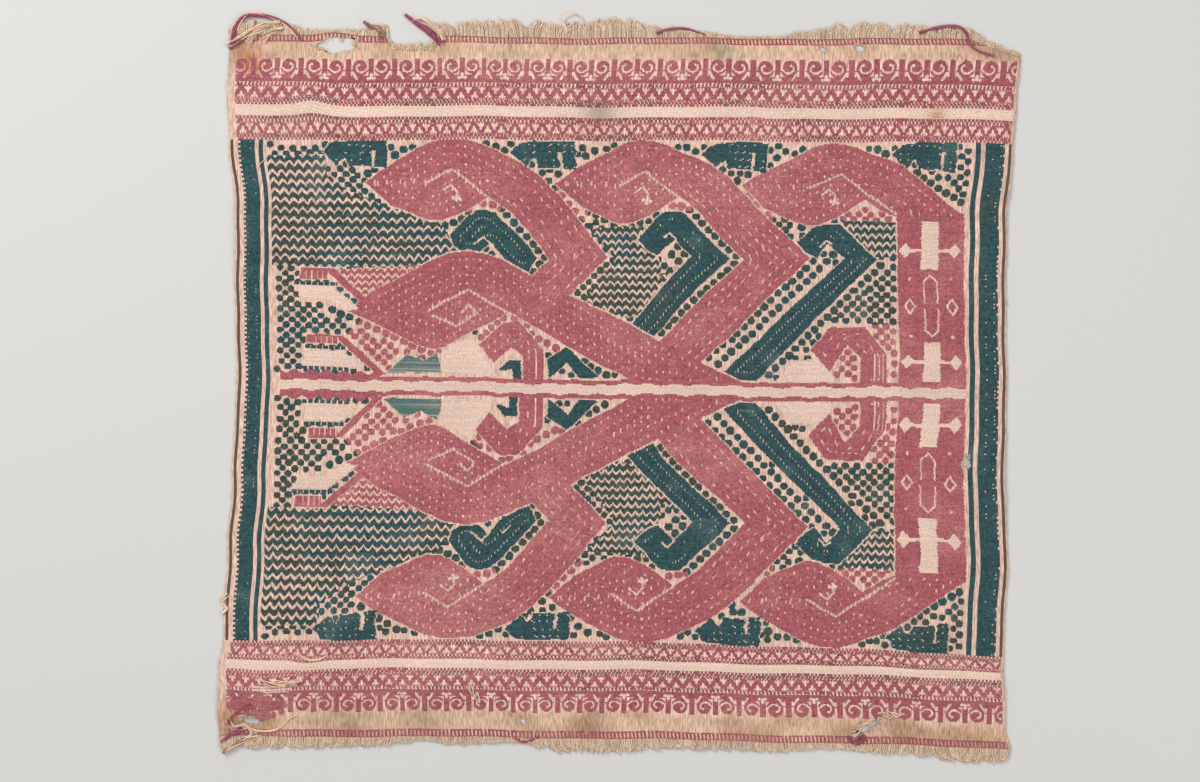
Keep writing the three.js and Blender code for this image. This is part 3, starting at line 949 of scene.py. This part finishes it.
def rose_dye(u, v, rows):
    """Rose that fades in patches, with a tone for each pick and greyed yarn in the speckled rows."""
    worn = 0.6 * value_noise(u, v, 60, 3) + 0.4 * value_noise(u, v, 9, 4)
    b = np.abs(v) / PICK - FIRST_BORDER_PICK
    speckled = np.any([(b > low - 0.5) & (b < high + 0.5) for low, high in SPECKLED_ROWS], axis=0)
    grey = speckled * smooth((value_noise(u, v, 24, 15) - 0.3) * 2) * 0.6
    tone = (0.96 + 0.08 * pick_tone(rows, 5)) * np.where(b > 0, 0.93, 1)
    grain = 0.91 + 0.18 * np.random.default_rng(6).random(len(u))
    rose = mix(ROSE_DYE, ROSE_FADED, smooth((worn - 0.35) * 1.6))
    return mix(rose, ROSE_GREYED, grey) * (tone * grain)[:, None]


def teal_dye(solid):
    """Teal of the solid shapes, or the deeper green of the small repeats, with greyed patches."""
    def dye(u, v, rows):
        patch = value_noise(u, v, 42, 8)
        small = value_noise(u, v, 10, 16)
        blue = smooth(2 * patch + 0.5) if solid else smooth((0.5 * patch + 0.5 * small - 0.32) * 3)
        grey = smooth((value_noise(u, v, 17, 9) - 0.66) * 3) * 0.4
        tone = 0.92 + 0.16 * pick_tone(rows, 10)
        grain = 0.88 + 0.24 * np.random.default_rng(11).random(len(u))
        return mix(mix(TEAL_DARK, TEAL_DYE, blue), TEAL_GREY, grey) * (tone * grain)[:, None]
    return dye


def pale_dye(u, v, rows):
    """Faded teal, streaked with cream along the picks."""
    streak = 0.6 * pick_tone(rows, 33) + 0.4 * value_noise(u, v, 9, 32)
    return mix(PALE_TEAL, CREAM_COTTON, smooth((streak - 0.25) * 1.2) * 0.55)


RUST, GREEN, BROWN = linear(186, 106, 62), linear(126, 130, 100), linear(128, 98, 70)
# Stains: place across and along, radius, strength, tint.
STAINS = [
    (-333, 292, 9, 0.8, RUST), (-328, 284, 5, 0.6, RUST), (-340, -298, 10, 0.5, RUST),
    (280, 246, 4, 0.7, RUST), (86, 303, 8, 0.55, GREEN), (-20, 248, 9, 0.6, GREEN),
    (-100, 303, 10, 0.3, GREEN), (334, 305, 12, 0.5, BROWN), (-344, 300, 9, 0.4, BROWN),
    (-336, -312, 9, 0.6, BROWN), (-240, -304, 22, 0.4, BROWN), (-18, -303, 12, 0.5, BROWN),
    (-170, -303, 16, 0.35, BROWN), (250, -300, 16, 0.3, BROWN),
]


def stained(colour, u, v):
    """A colour with every stain mixed in, by a bell about its place."""
    for su, sv, radius, amount, tint in STAINS:
        spot = amount * np.exp(-((u - su) ** 2 + (v - sv) ** 2) / (2 * radius**2))
        colour = mix(colour, tint, spot)
    return colour


def plain_dye(colour, seed):
    """One dye with a tone for each pick, soiled in patches and where a stain crosses it."""
    def dye(u, v, rows):
        tone = 0.94 + 0.12 * pick_tone(rows, seed)
        soil = 1 - 0.1 * value_noise(u, v, 30, seed + 1)
        clean = np.where(np.abs(v) > FIRST_BORDER_PICK * PICK, 1.03, 1.0)
        return stained(colour * (tone * soil * clean)[:, None], u, v)
    return dye


WORN_CREAM = linear(240, 208, 186)


def cotton_material(name, roughness, bump, fibre, fibre_tone_and_shade, worn=0.0):
    """Woven cotton: the dye attribute, broken by fine fibre noise, with a fibre bump from that same noise,
    so the dye also carries painted shade, darker in the bump's hollows.

    Where a second fine noise is high the dye is worn towards cream, by up to the given share."""
    material = bpy.data.materials.new(name)
    material.use_nodes = True
    nodes, links = material.node_tree.nodes, material.node_tree.links
    shader = nodes["Principled BSDF"]
    shader.inputs["Roughness"].default_value = roughness
    shader.inputs["Specular IOR Level"].default_value = 0.12
    shader.inputs["Sheen Weight"].default_value = 0.08
    shader.inputs["Sheen Roughness"].default_value = 0.5
    dye = nodes.new("ShaderNodeAttribute")
    dye.attribute_name = "dye"
    place = nodes.new("ShaderNodeTexCoord")

    def noise_at(scale, *limits):
        """Stretched noise, as it is and carried over from one range to another."""
        stretch = nodes.new("ShaderNodeMapping")
        stretch.inputs["Scale"].default_value = scale
        noise = nodes.new("ShaderNodeTexNoise")
        noise.inputs["Scale"].default_value = 1.0
        noise.inputs["Detail"].default_value = 3.0
        ranged = nodes.new("ShaderNodeMapRange")
        for key, value in zip(("From Min", "From Max", "To Min", "To Max"), limits):
            ranged.inputs[key].default_value = value
        links.new(place.outputs["Object"], stretch.inputs["Vector"])
        links.new(stretch.outputs["Vector"], noise.inputs["Vector"])
        links.new(noise.outputs["Fac"], ranged.inputs["Value"])
        return noise.outputs["Fac"], ranged.outputs["Result"]

    # Fibre tone that is partly painted shade: this noise is also the bump's height, so the dye is darker in
    # its hollows and lighter on its crests.
    fine, tone = noise_at(fibre, 0.3, 0.7, 1 - fibre_tone_and_shade, 1 + fibre_tone_and_shade)
    shade = nodes.new("ShaderNodeVectorMath")
    shade.operation = "SCALE"
    links.new(dye.outputs["Color"], shade.inputs[0])
    links.new(tone, shade.inputs["Scale"])
    colour = shade.outputs["Vector"]
    if worn:
        specks = noise_at((1500, 900, 900), 0.5, 0.75, 0.0, worn)[1]
        blend = nodes.new("ShaderNodeMix")
        blend.data_type = "RGBA"
        blend.inputs["B"].default_value = (*WORN_CREAM, 1)
        links.new(specks, blend.inputs["Factor"])
        links.new(colour, blend.inputs["A"])
        colour = blend.outputs["Result"]
    rise = nodes.new("ShaderNodeBump")
    rise.inputs["Strength"].default_value = bump
    rise.inputs["Distance"].default_value = 0.0004
    links.new(colour, shader.inputs["Base Color"])
    links.new(fine, rise.inputs["Height"])
    links.new(rise.outputs["Normal"], shader.inputs["Normal"])
    return material


# The fifth value sets how far the fibre noise lightens and darkens the dye: partly fibre tone, partly
# painted shade in the bump's hollows.
ground_cotton = cotton_material("ground_cotton", 0.9, 0.5, (760, 130, 130), 0.36)
cream_cotton = cotton_material("cream_cotton", 0.88, 0.5, (900, 700, 700), 0.24)
weft_cotton = cotton_material("weft_cotton", 0.85, 0.5, (640, 480, 480), 0.4, 0.2)
teal_cotton = cotton_material("teal_cotton", 0.85, 0.5, (560, 480, 480), 0.5, 0.06)
warp_cotton = cotton_material("warp_cotton", 0.92, 0.3, (700, 700, 700), 0.2)

END_COTTON = linear(246, 209, 194)
END_BROWN = linear(176, 134, 100)


def ground_dye(u, v):
    """Ground colour: warp streaks, soil, brown on the plain ends, and the stains of the table."""
    streak = value_noise(u * 12, v * 0.25, 10, 20)
    soil = value_noise(u, v, 45, 21)
    plain_end = smooth((np.abs(v) - 290) / 6)
    cotton = mix(FIELD_COTTON, GROUND_COTTON, plain_end)
    colour = cotton * (0.9 + 0.16 * streak)[..., None] * (0.93 + 0.1 * soil)[..., None]
    banded = smooth((np.abs(v) - FIRST_BORDER_PICK * PICK) / 3) * (1 - plain_end) * (np.abs(u) < 343)
    colour = mix(colour, END_COTTON, 0.45 * banded)
    brown = smooth((value_noise(u, v, 26, 22) - 0.45) * 3) * plain_end * np.where(v < 0, 0.6, 0.3)
    return stained(mix(colour, END_BROWN, brown), u, v)


GRID_U, GRID_V = 226, 204


def ground_sheet():
    """The ground cloth: a grid over the woven rectangle with a worn upper end, top and underside.

    Grid points inside a hole move out to its ragged rim, and cells that lie wholly inside are left out."""
    s = np.linspace(-1, 1, GRID_U + 1)
    t = np.linspace(0, 1, GRID_V + 1)
    ss, tt = np.meshgrid(s, t)
    u = ss * HALF_WIDTH
    v = -WOVEN_LENGTH / 2 + tt * (WOVEN_LENGTH - worn_away(u))
    x, y = lay(u, v)
    level, which = hole_level(x, y)
    inside = level < 0
    cx, cy = HOLES[which, 0], HOLES[which, 1]
    push = np.where(inside, 1 / np.maximum(1 + level, 0.05), 1.0)
    x, y = cx + (x - cx) * push, cy + (y - cy) * push
    z = lift(x, y)
    count = x.size
    top = np.stack([x, y, z + GROUND_THICKNESS], axis=-1).reshape(-1, 3)
    under = np.stack([x, y, z], axis=-1).reshape(-1, 3)
    number = np.arange(count).reshape(x.shape)
    a, b, c, d = number[:-1, :-1], number[:-1, 1:], number[1:, 1:], number[1:, :-1]
    kept = ~(inside[:-1, :-1] & inside[:-1, 1:] & inside[1:, 1:] & inside[1:, :-1])
    upper = np.stack([a, b, c, d], axis=-1)[kept]
    lower = np.stack([a, d, c, b], axis=-1)[kept] + count
    # Rim: every side of a kept cell that no other kept cell shares gets a wall.
    sides = np.concatenate([upper[:, [0, 1]], upper[:, [1, 2]], upper[:, [2, 3]], upper[:, [3, 0]]])
    key = sides.min(axis=1) * count + sides.max(axis=1)
    _, where, times = np.unique(key, return_index=True, return_counts=True)
    open_sides = sides[where[times == 1]]
    begin, end = open_sides.T
    rim = np.stack([end, begin, begin + count, end + count], axis=-1)
    faces = np.concatenate([upper, lower, rim])
    points = np.concatenate([top, under])
    used = np.unique(faces)
    renumber = np.zeros(len(points), int)
    renumber[used] = np.arange(len(used))
    colours = np.concatenate([ground_dye(u, v).reshape(-1, 3)] * 2)
    return make_mesh("ground_cloth", points[used], renumber[faces], ground_cotton, colours[used])


def tubes(name, paths, radius, colours, material, sides=3):
    """Yarns: a round profile carried along each path, which holds as many stations as the others.

    The profile stands square to the path, on its level side vector and the vector over it."""
    paths = np.asarray(paths, float)
    along = np.gradient(paths, axis=1)
    along /= np.linalg.norm(along, axis=2, keepdims=True) + 1e-9
    side = np.stack([along[..., 1], -along[..., 0], np.zeros(along.shape[:2])], axis=-1)
    side /= np.linalg.norm(side, axis=2, keepdims=True) + 1e-9
    over = np.cross(side, along)
    turn = np.arange(sides) * 2 * np.pi / sides
    ring = side[:, :, None] * np.cos(turn)[:, None] + over[:, :, None] * np.sin(turn)[:, None]
    points = paths[:, :, None] + ring * radius
    count, stations = paths.shape[:2]
    number = np.arange(count * stations * sides).reshape(count, stations, sides)
    nxt = np.roll(number, -1, axis=2)
    faces = np.stack([number[:, :-1], nxt[:, :-1], nxt[:, 1:], number[:, 1:]], axis=-1).reshape(-1, 4)
    dye = np.repeat(np.asarray(colours), stations * sides, axis=0)
    return make_mesh(name, points.reshape(-1, 3), faces, material, dye, planar=False)


TOP_FRINGE = np.array([
    (-350, 7), (-318, 10), (-260, 4), (-210, 9), (-150, 10), (-105, 14), (-60, 12), (0, 15), (36, 9),
    (80, 4), (104, 1.6), (142, 1.4), (160, 6), (205, 12), (312, 9), (350, 3),
], float)
BOTTOM_FRINGE = np.array([
    (-350, 10), (-260, 8), (-200, 6), (-170, 2.5), (-140, 6), (-82, 3), (-55, 10), (0, 10), (60, 7),
    (130, 7), (190, 4), (245, 7), (300, 11), (350, 11),
], float)
LOOP_PITCH = 0.75
LOOP_STATIONS, FRAY_STATIONS = 12, 8
# Tufts of loops: how many, how wide, and where the first one starts.
TUFTS, TUFT_WIDTHS, TUFTS_FROM = 160, (5, 21), -365
# Bows at each selvedge: how many, and between which places.
BOWS, BOWS_FROM, BOWS_TO = 230, -300, 296
LOOP_RADIUS, FRAY_RADIUS, YARN_RADIUS = 0.45, 0.33, 0.42
FRINGE_COTTON = linear(244, 216, 188)


def fringe_loops(name, lengths, outward, seed):
    """Warp loops of one end: each leaves the edge, turns at its rounded tip and comes back.

    Loops stand in tufts of uneven width. In a tuft the length follows half an ellipse, the loops fan
    from its middle, and all lean alike. Along a loop the reach is a flattened sine arch."""
    rng = np.random.default_rng(seed)
    root = np.arange(-HALF_WIDTH + 1, HALF_WIDTH - 1, LOOP_PITCH)
    root = root + rng.uniform(-0.3, 0.3, len(root))
    borders = np.cumsum(rng.uniform(*TUFT_WIDTHS, TUFTS)) + TUFTS_FROM
    tuft = np.searchsorted(borders, root)
    middle, half = (borders[tuft] + borders[tuft - 1]) / 2, (borders[tuft] - borders[tuft - 1]) / 2
    place = (root - middle) / half
    profile = 0.42 + 0.68 * np.sqrt(1.02 - place**2)
    length = eased(lengths, root)[0] * profile * rng.uniform(0.82, 1.12, len(root))
    edge = np.full(len(root), WOVEN_LENGTH / 2)
    if outward > 0:
        edge = edge - worn_away(root)
        # Only short ends are left where the end is worn away.
        length = np.where(worn_away(root) > 4, rng.uniform(1.5, 6.0, len(root)), length)
    t = np.linspace(0, 1, LOOP_STATIONS)[None, :]
    arch = np.sin(np.pi * t)
    reach = length[:, None] * arch**0.62 - 0.8 * (1 - arch)
    lean = length * 0.3 * rng.normal(0, 1, TUFTS + 1)[tuft] + 1.6 * place + rng.normal(0, 0.7, len(root))
    half_loop = rng.uniform(0.5, 1.5, len(root))
    u = root[:, None] - half_loop[:, None] * np.cos(np.pi * t) + lean[:, None] * arch**1.6
    v = outward * (edge[:, None] + reach)
    x, y = lay(u, v)
    height = rng.uniform(0.5, 1.9, len(root))[:, None] + 0.5 * arch
    paths = np.stack([x, y, height], axis=-1)
    colours = FRINGE_COTTON * rng.uniform(0.8, 1.06, len(root))[:, None]
    return tubes(name, paths, LOOP_RADIUS, colours, warp_cotton)


def frayed_rims():
    """Short curled ends round every worn hole, from its ragged rim towards its middle, and small
    bows where a pick turns at the selvedge."""
    rng = np.random.default_rng(60)
    paths = []
    t = np.linspace(0, 1, FRAY_STATIONS)
    for cx, cy, turn, half_length, half_width in HOLES:
        a = np.radians(turn)
        for angle in rng.uniform(0, 2 * np.pi, int(6 + 2.2 * half_length)):
            rim = ragged_rim(angle, cx)
            p, q = half_length * np.cos(angle) * rim, half_width * np.sin(angle) * rim
            reach = rng.uniform(0.25, 0.8) * t - 0.18
            p = p * (1 - 0.35 * reach) + rng.normal(0, 0.8) * np.sin(np.pi * t)
            q = q * (1 - reach) + rng.normal(0, 0.5) * np.sin(2 * np.pi * t)
            x, y = cx + p * np.cos(a) - q * np.sin(a), cy + p * np.sin(a) + q * np.cos(a)
            z = lift(x, y) + GROUND_THICKNESS + 0.1 + 0.5 * np.sin(np.pi * t)
            paths.append(np.stack([x, y, z], axis=-1))
    for side in (-1, 1):
        for v in rng.uniform(BOWS_FROM, BOWS_TO, BOWS):
            out, tall = rng.uniform(0.3, 1.7), rng.uniform(0.8, 3.0)
            u = side * (HALF_WIDTH - 0.6 + out * np.sin(np.pi * t))
            x, y = lay(u, v + tall * (t - 0.5))
            paths.append(np.stack([x, y, lift(x, y) + 0.5 + 0.4 * np.sin(np.pi * t)], axis=-1))
    paths = np.array(paths)
    colours = FRINGE_COTTON * rng.uniform(0.78, 1.0, len(paths))[:, None]
    return tubes("frayed_rims", paths, FRAY_RADIUS, colours, warp_cotton)


def spline(route, stations):
    """Smooth path through a route's points: an even Catmull-Rom curve, sampled evenly."""
    p = np.asarray(route, float)
    p = np.concatenate([[2 * p[0] - p[1]], p, [2 * p[-1] - p[-2]]])
    t = np.linspace(0, len(p) - 3 - 1e-6, stations)
    i = t.astype(int)
    f = (t - i)[:, None]
    a, b, c, d = p[i], p[i + 1], p[i + 2], p[i + 3]
    return 0.5 * (2 * b + (c - a) * f + (2 * a - 5 * b + 4 * c - d) * f**2 + (3 * b - a - 3 * c + d) * f**3)


YARN_STATIONS = 24
ROSE_YARN, TAN_YARN = linear(168, 92, 112), linear(168, 124, 112)
# Loose yarns: colour, number of strands, spread, and places passed with their height.
LOOSE_YARNS = [
    (ROSE_YARN, 18, 2.6, [
        (-347, 306, 2), (-344, 322, 2), (-336, 332, 2), (-321, 333, 2), (-305, 328, 2), (-293, 320, 2),
        (-286, 311, 2),
    ]),
    (FRINGE_COTTON, 3, 1.2, [
        (-345, 309, 2), (-340, 325, 2.5), (-331, 334, 2.5), (-316, 331, 2.5), (-300, 324, 2), (-288, 312, 2),
    ]),
    (ROSE_YARN, 24, 3.4, [
        (-159, 308, 2), (-166, 314, 2), (-173, 320, 2), (-181, 325, 2), (-192, 333, 1.5),
    ]),
    (FRINGE_COTTON, 10, 2.6, [
        (-157, 310, 2), (-163, 318, 2.5), (-170, 326, 2.5), (-178, 330, 2), (-186, 327, 2),
    ]),
    (FRINGE_COTTON, 12, 5.0, [(-334, 307, 1.6), (-327, 317, 2.2), (-317, 324, 2.2), (-304, 327, 1.8)]),
    (FRINGE_COTTON, 9, 4.0, [(-320, 309, 1.6), (-313, 317, 2.2), (-302, 321, 1.8)]),
    (ROSE_YARN, 9, 1.6, [(34, 316, 1.6), (47, 320, 2), (62, 320, 2), (78, 315, 1.4)]),
    (ROSE_YARN, 9, 1.6, [
        (270, 317, 2), (288, 321.5, 2), (305, 322, 2), (313, 316, 2.4), (316, 307, 3), (324, 300, 3),
        (338, 296, 2.6),
    ]),
    (ROSE_YARN, 14, 2.4, [(-330, -315, 1.4), (-343, -322, 2), (-356, -331, 2)]),
    (ROSE_YARN, 10, 2.2, [(-338, -309, 2), (-350, -316, 2), (-358, -321, 1.5)]),
    (FRINGE_COTTON, 8, 2.6, [(-322, -314, 1.5), (-334, -318, 2.4), (-347, -325, 2.4), (-354, -330, 2)]),
    (FRINGE_COTTON, 3, 1.0, [
        (-340, -306, 1.6), (-322, -311, 1.8), (-306, -309, 1.8), (-296, -300, 1.8), (-290, -297, 1.6),
    ]),
    (FRINGE_COTTON, 7, 3.4, [(-322, -266, 1.6), (-308, -268, 1.9), (-296, -267, 1.9), (-284, -265, 1.5)]),
    (ROSE_YARN, 14, 3.0, [(222, -315, 1.4), (217, -321, 1.6), (212, -322, 1.6), (207, -316, 1.4)]),
    (FRINGE_COTTON, 9, 4.5, [(210, -315, 1.5), (218, -308, 1.8), (229, -300, 1.5)]),
    (FRINGE_COTTON, 7, 3.5, [(236, -296, 1.6), (246, -297, 1.9), (254, -296, 1.6)]),
    (FRINGE_COTTON, 1, 0.0, [(-325, 192, 1.6), (-323, 198, 1.8), (-318, 203, 1.6)]),
    (FRINGE_COTTON, 5, 1.6, [(-351, -188, 1.2), (-357, -195, 1.6), (-352, -201, 1.6), (-357, -206, 1.4)]),
    (FRINGE_COTTON, 2, 0.7, [(302, 292, 1.6), (306, 298, 1.9), (311, 293, 1.9), (306, 288, 1.6)]),
    (TAN_YARN, 9, 4.2, [(-212, 312, 1.5), (-216, 319, 2), (-222, 322, 2), (-229, 327, 1.6)]),
    (FRINGE_COTTON, 6, 3.4, [(-352, 304, 2), (-342, 312, 2), (-330, 320, 2), (-318, 326, 2)]),
    (ROSE_YARN, 8, 2.2, [(-350, 303, 2), (-340, 308, 2), (-330, 318, 2), (-326, 328, 2)]),
    (ROSE_YARN, 6, 1.6, [(-352, -306, 1.6), (-345, -296, 2), (-338, -290, 2), (-330, -286, 1.8)]),
    (FRINGE_COTTON, 4, 2.2, [
        (-352, -300, 1.6), (-346, -308, 2), (-336, -306, 2), (-330, -314, 1.8), (-342, -320, 1.6),
    ]),
    (FRINGE_COTTON, 2, 0.8, [
        (-340, -322, 1.4), (-326, -318, 2), (-330, -309, 2.4), (-344, -312, 2), (-352, -322, 1.6),
    ]),
    (FRINGE_COTTON, 4, 0.9, [(-74, -308, 1.6), (-76, -315, 2), (-73, -322, 1.6)]),
    (ROSE_YARN, 8, 1.8, [(-94, -317, 1.4), (-87, -321, 1.6), (-80, -320, 1.6), (-72, -316, 1.4)]),
    (FRINGE_COTTON, 6, 3.0, [(-136, -270, 1.5), (-131, -276, 1.8), (-127, -281, 1.8), (-125, -286, 1.5)]),
    (FRINGE_COTTON, 3, 0.8, [(-105, -133, 1.4), (-101, -130, 1.7), (-97, -126, 1.4)]),
    (FRINGE_COTTON, 3, 1.2, [(-286, -243, 1.6), (-280, -247, 1.9), (-270, -247, 1.9), (-262, -243, 1.6)]),
    (FRINGE_COTTON, 4, 0.7, [
        (-46, 318, 1.5), (-50, 329, 2), (-42, 335, 3), (-33, 330, 2), (-37, 318, 1.5),
    ]),
]


def loose_yarns():
    """Strands of every loose yarn: its route, with each strand turning slowly about it."""
    paths, colours = [], []
    rng = np.random.default_rng(40)
    for colour, strands, spread, route in LOOSE_YARNS:
        line = spline(route, YARN_STATIONS)
        t = np.linspace(0, 1, YARN_STATIONS)
        for n in range(strands):
            turn = 2 * np.pi * n / strands + rng.uniform(3, 6) * t + rng.uniform(0, 1)
            across = spread * np.cos(turn) * rng.uniform(0.3, 1.1) * (1.1 - 0.75 * t)
            over = 0.6 * spread * np.sin(turn)
            heading = np.gradient(line, axis=0)
            heading /= np.linalg.norm(heading[:, :2], axis=1, keepdims=True) + 1e-9
            shift = np.stack([-heading[:, 1] * across, heading[:, 0] * across, over], axis=-1)
            paths.append(line + shift)
            colours.append(colour * rng.uniform(0.8, 1.2))
    paths = np.array(paths)
    paths[..., 2] = np.maximum(paths[..., 2], 0.5) + lift(paths[..., 0], paths[..., 1])
    return tubes("loose_yarns", paths, YARN_RADIUS, np.array(colours), warp_cotton, sides=4)


chart, pick_v = full_chart()
ground = ground_sheet()
for label, colour, dye, material in [
    ("rose_wefts", ROSE, rose_dye, weft_cotton),
    ("teal_wefts", TEAL, teal_dye(True), teal_cotton),
    ("deep_teal_wefts", DEEP, teal_dye(False), teal_cotton),
]:
    rows, first, last = float_runs(chart, colour)
    for part, chosen in (("lower", rows < HALF_PICKS - 1), ("upper", rows >= HALF_PICKS - 1)):
        run = (rows[chosen], first[chosen], last[chosen])
        weft_floats(label + "_" + part, run, pick_v, dye, material)
for label, colour, dye in [
    ("cream_wefts", CREAM, plain_dye(CREAM_COTTON, 30)),
    ("pale_wefts", PALE, pale_dye),
    ("selvedge_lines", OLIVE, plain_dye(OLIVE_BROWN, 34)),
]:
    weft_floats(label, float_runs(chart, colour), pick_v, dye, cream_cotton)

top_fringe = fringe_loops("top_fringe_loops", TOP_FRINGE, 1, 50)
bottom_fringe = fringe_loops("bottom_fringe_loops", BOTTOM_FRINGE, -1, 51)
yarns = loose_yarns()
rims = frayed_rims()

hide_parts("cloth")
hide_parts("top_fringe_left", "top_fringe_right")
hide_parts("bottom_fringe")

# The pale floor, soft light from above and the camera straight over the cloth.
FLOOR_HALF, FLOOR_HEIGHT = 6.0, -0.0004
FLOOR_COLOUR = (0.72, 0.71, 0.69, 1)
WORLD_STRENGTH = 0.45
CAMERA_PLACE = (-0.01665, -0.0054, 2.55)

floor_mesh = bpy.data.meshes.new("floor")
corners = ((-1, -1), (1, -1), (1, 1), (-1, 1))
floor_points = [(FLOOR_HALF * a, FLOOR_HALF * b, FLOOR_HEIGHT) for a, b in corners]
floor_mesh.from_pydata(floor_points, [], [(0, 1, 2, 3)])
floor = bpy.data.objects.new("floor", floor_mesh)
bpy.context.scene.collection.objects.link(floor)
floor_paint = bpy.data.materials.new("floor_paint")
floor_paint.use_nodes = True
paint = floor_paint.node_tree.nodes["Principled BSDF"].inputs
paint["Base Color"].default_value = FLOOR_COLOUR
paint["Roughness"].default_value = 0.9
floor_mesh.materials.append(floor_paint)

scene = bpy.context.scene
scene.view_settings.view_transform = "Standard"
world = bpy.data.worlds.new("studio")
world.use_nodes = True
sky = world.node_tree.nodes["Background"].inputs
sky["Color"].default_value = (1, 1, 1, 1)
sky["Strength"].default_value = WORLD_STRENGTH
scene.world = world


def soft_light(name, place, size, power):
    """A square area light aimed at the middle of the cloth: tilted and turned by its own direction."""
    lamp = bpy.data.lights.new(name, "AREA")
    lamp.size = size
    lamp.energy = power
    holder = bpy.data.objects.new(name, lamp)
    holder.location = place
    aim = np.array(place) / np.linalg.norm(place)
    holder.rotation_euler = (np.arccos(aim[2]), 0, np.arctan2(aim[1], aim[0]) + np.pi / 2)
    scene.collection.objects.link(holder)


soft_light("key", (-1.6, 1.5, 1.8), 1.2, 42)
soft_light("fill", (1.7, -0.6, 2.2), 2.0, 24)

lens = bpy.data.cameras.new("camera")
lens.lens = 85
lens.sensor_width = 36
camera = bpy.data.objects.new("camera", lens)
camera.location = CAMERA_PLACE
scene.collection.objects.link(camera)
scene.camera = camera
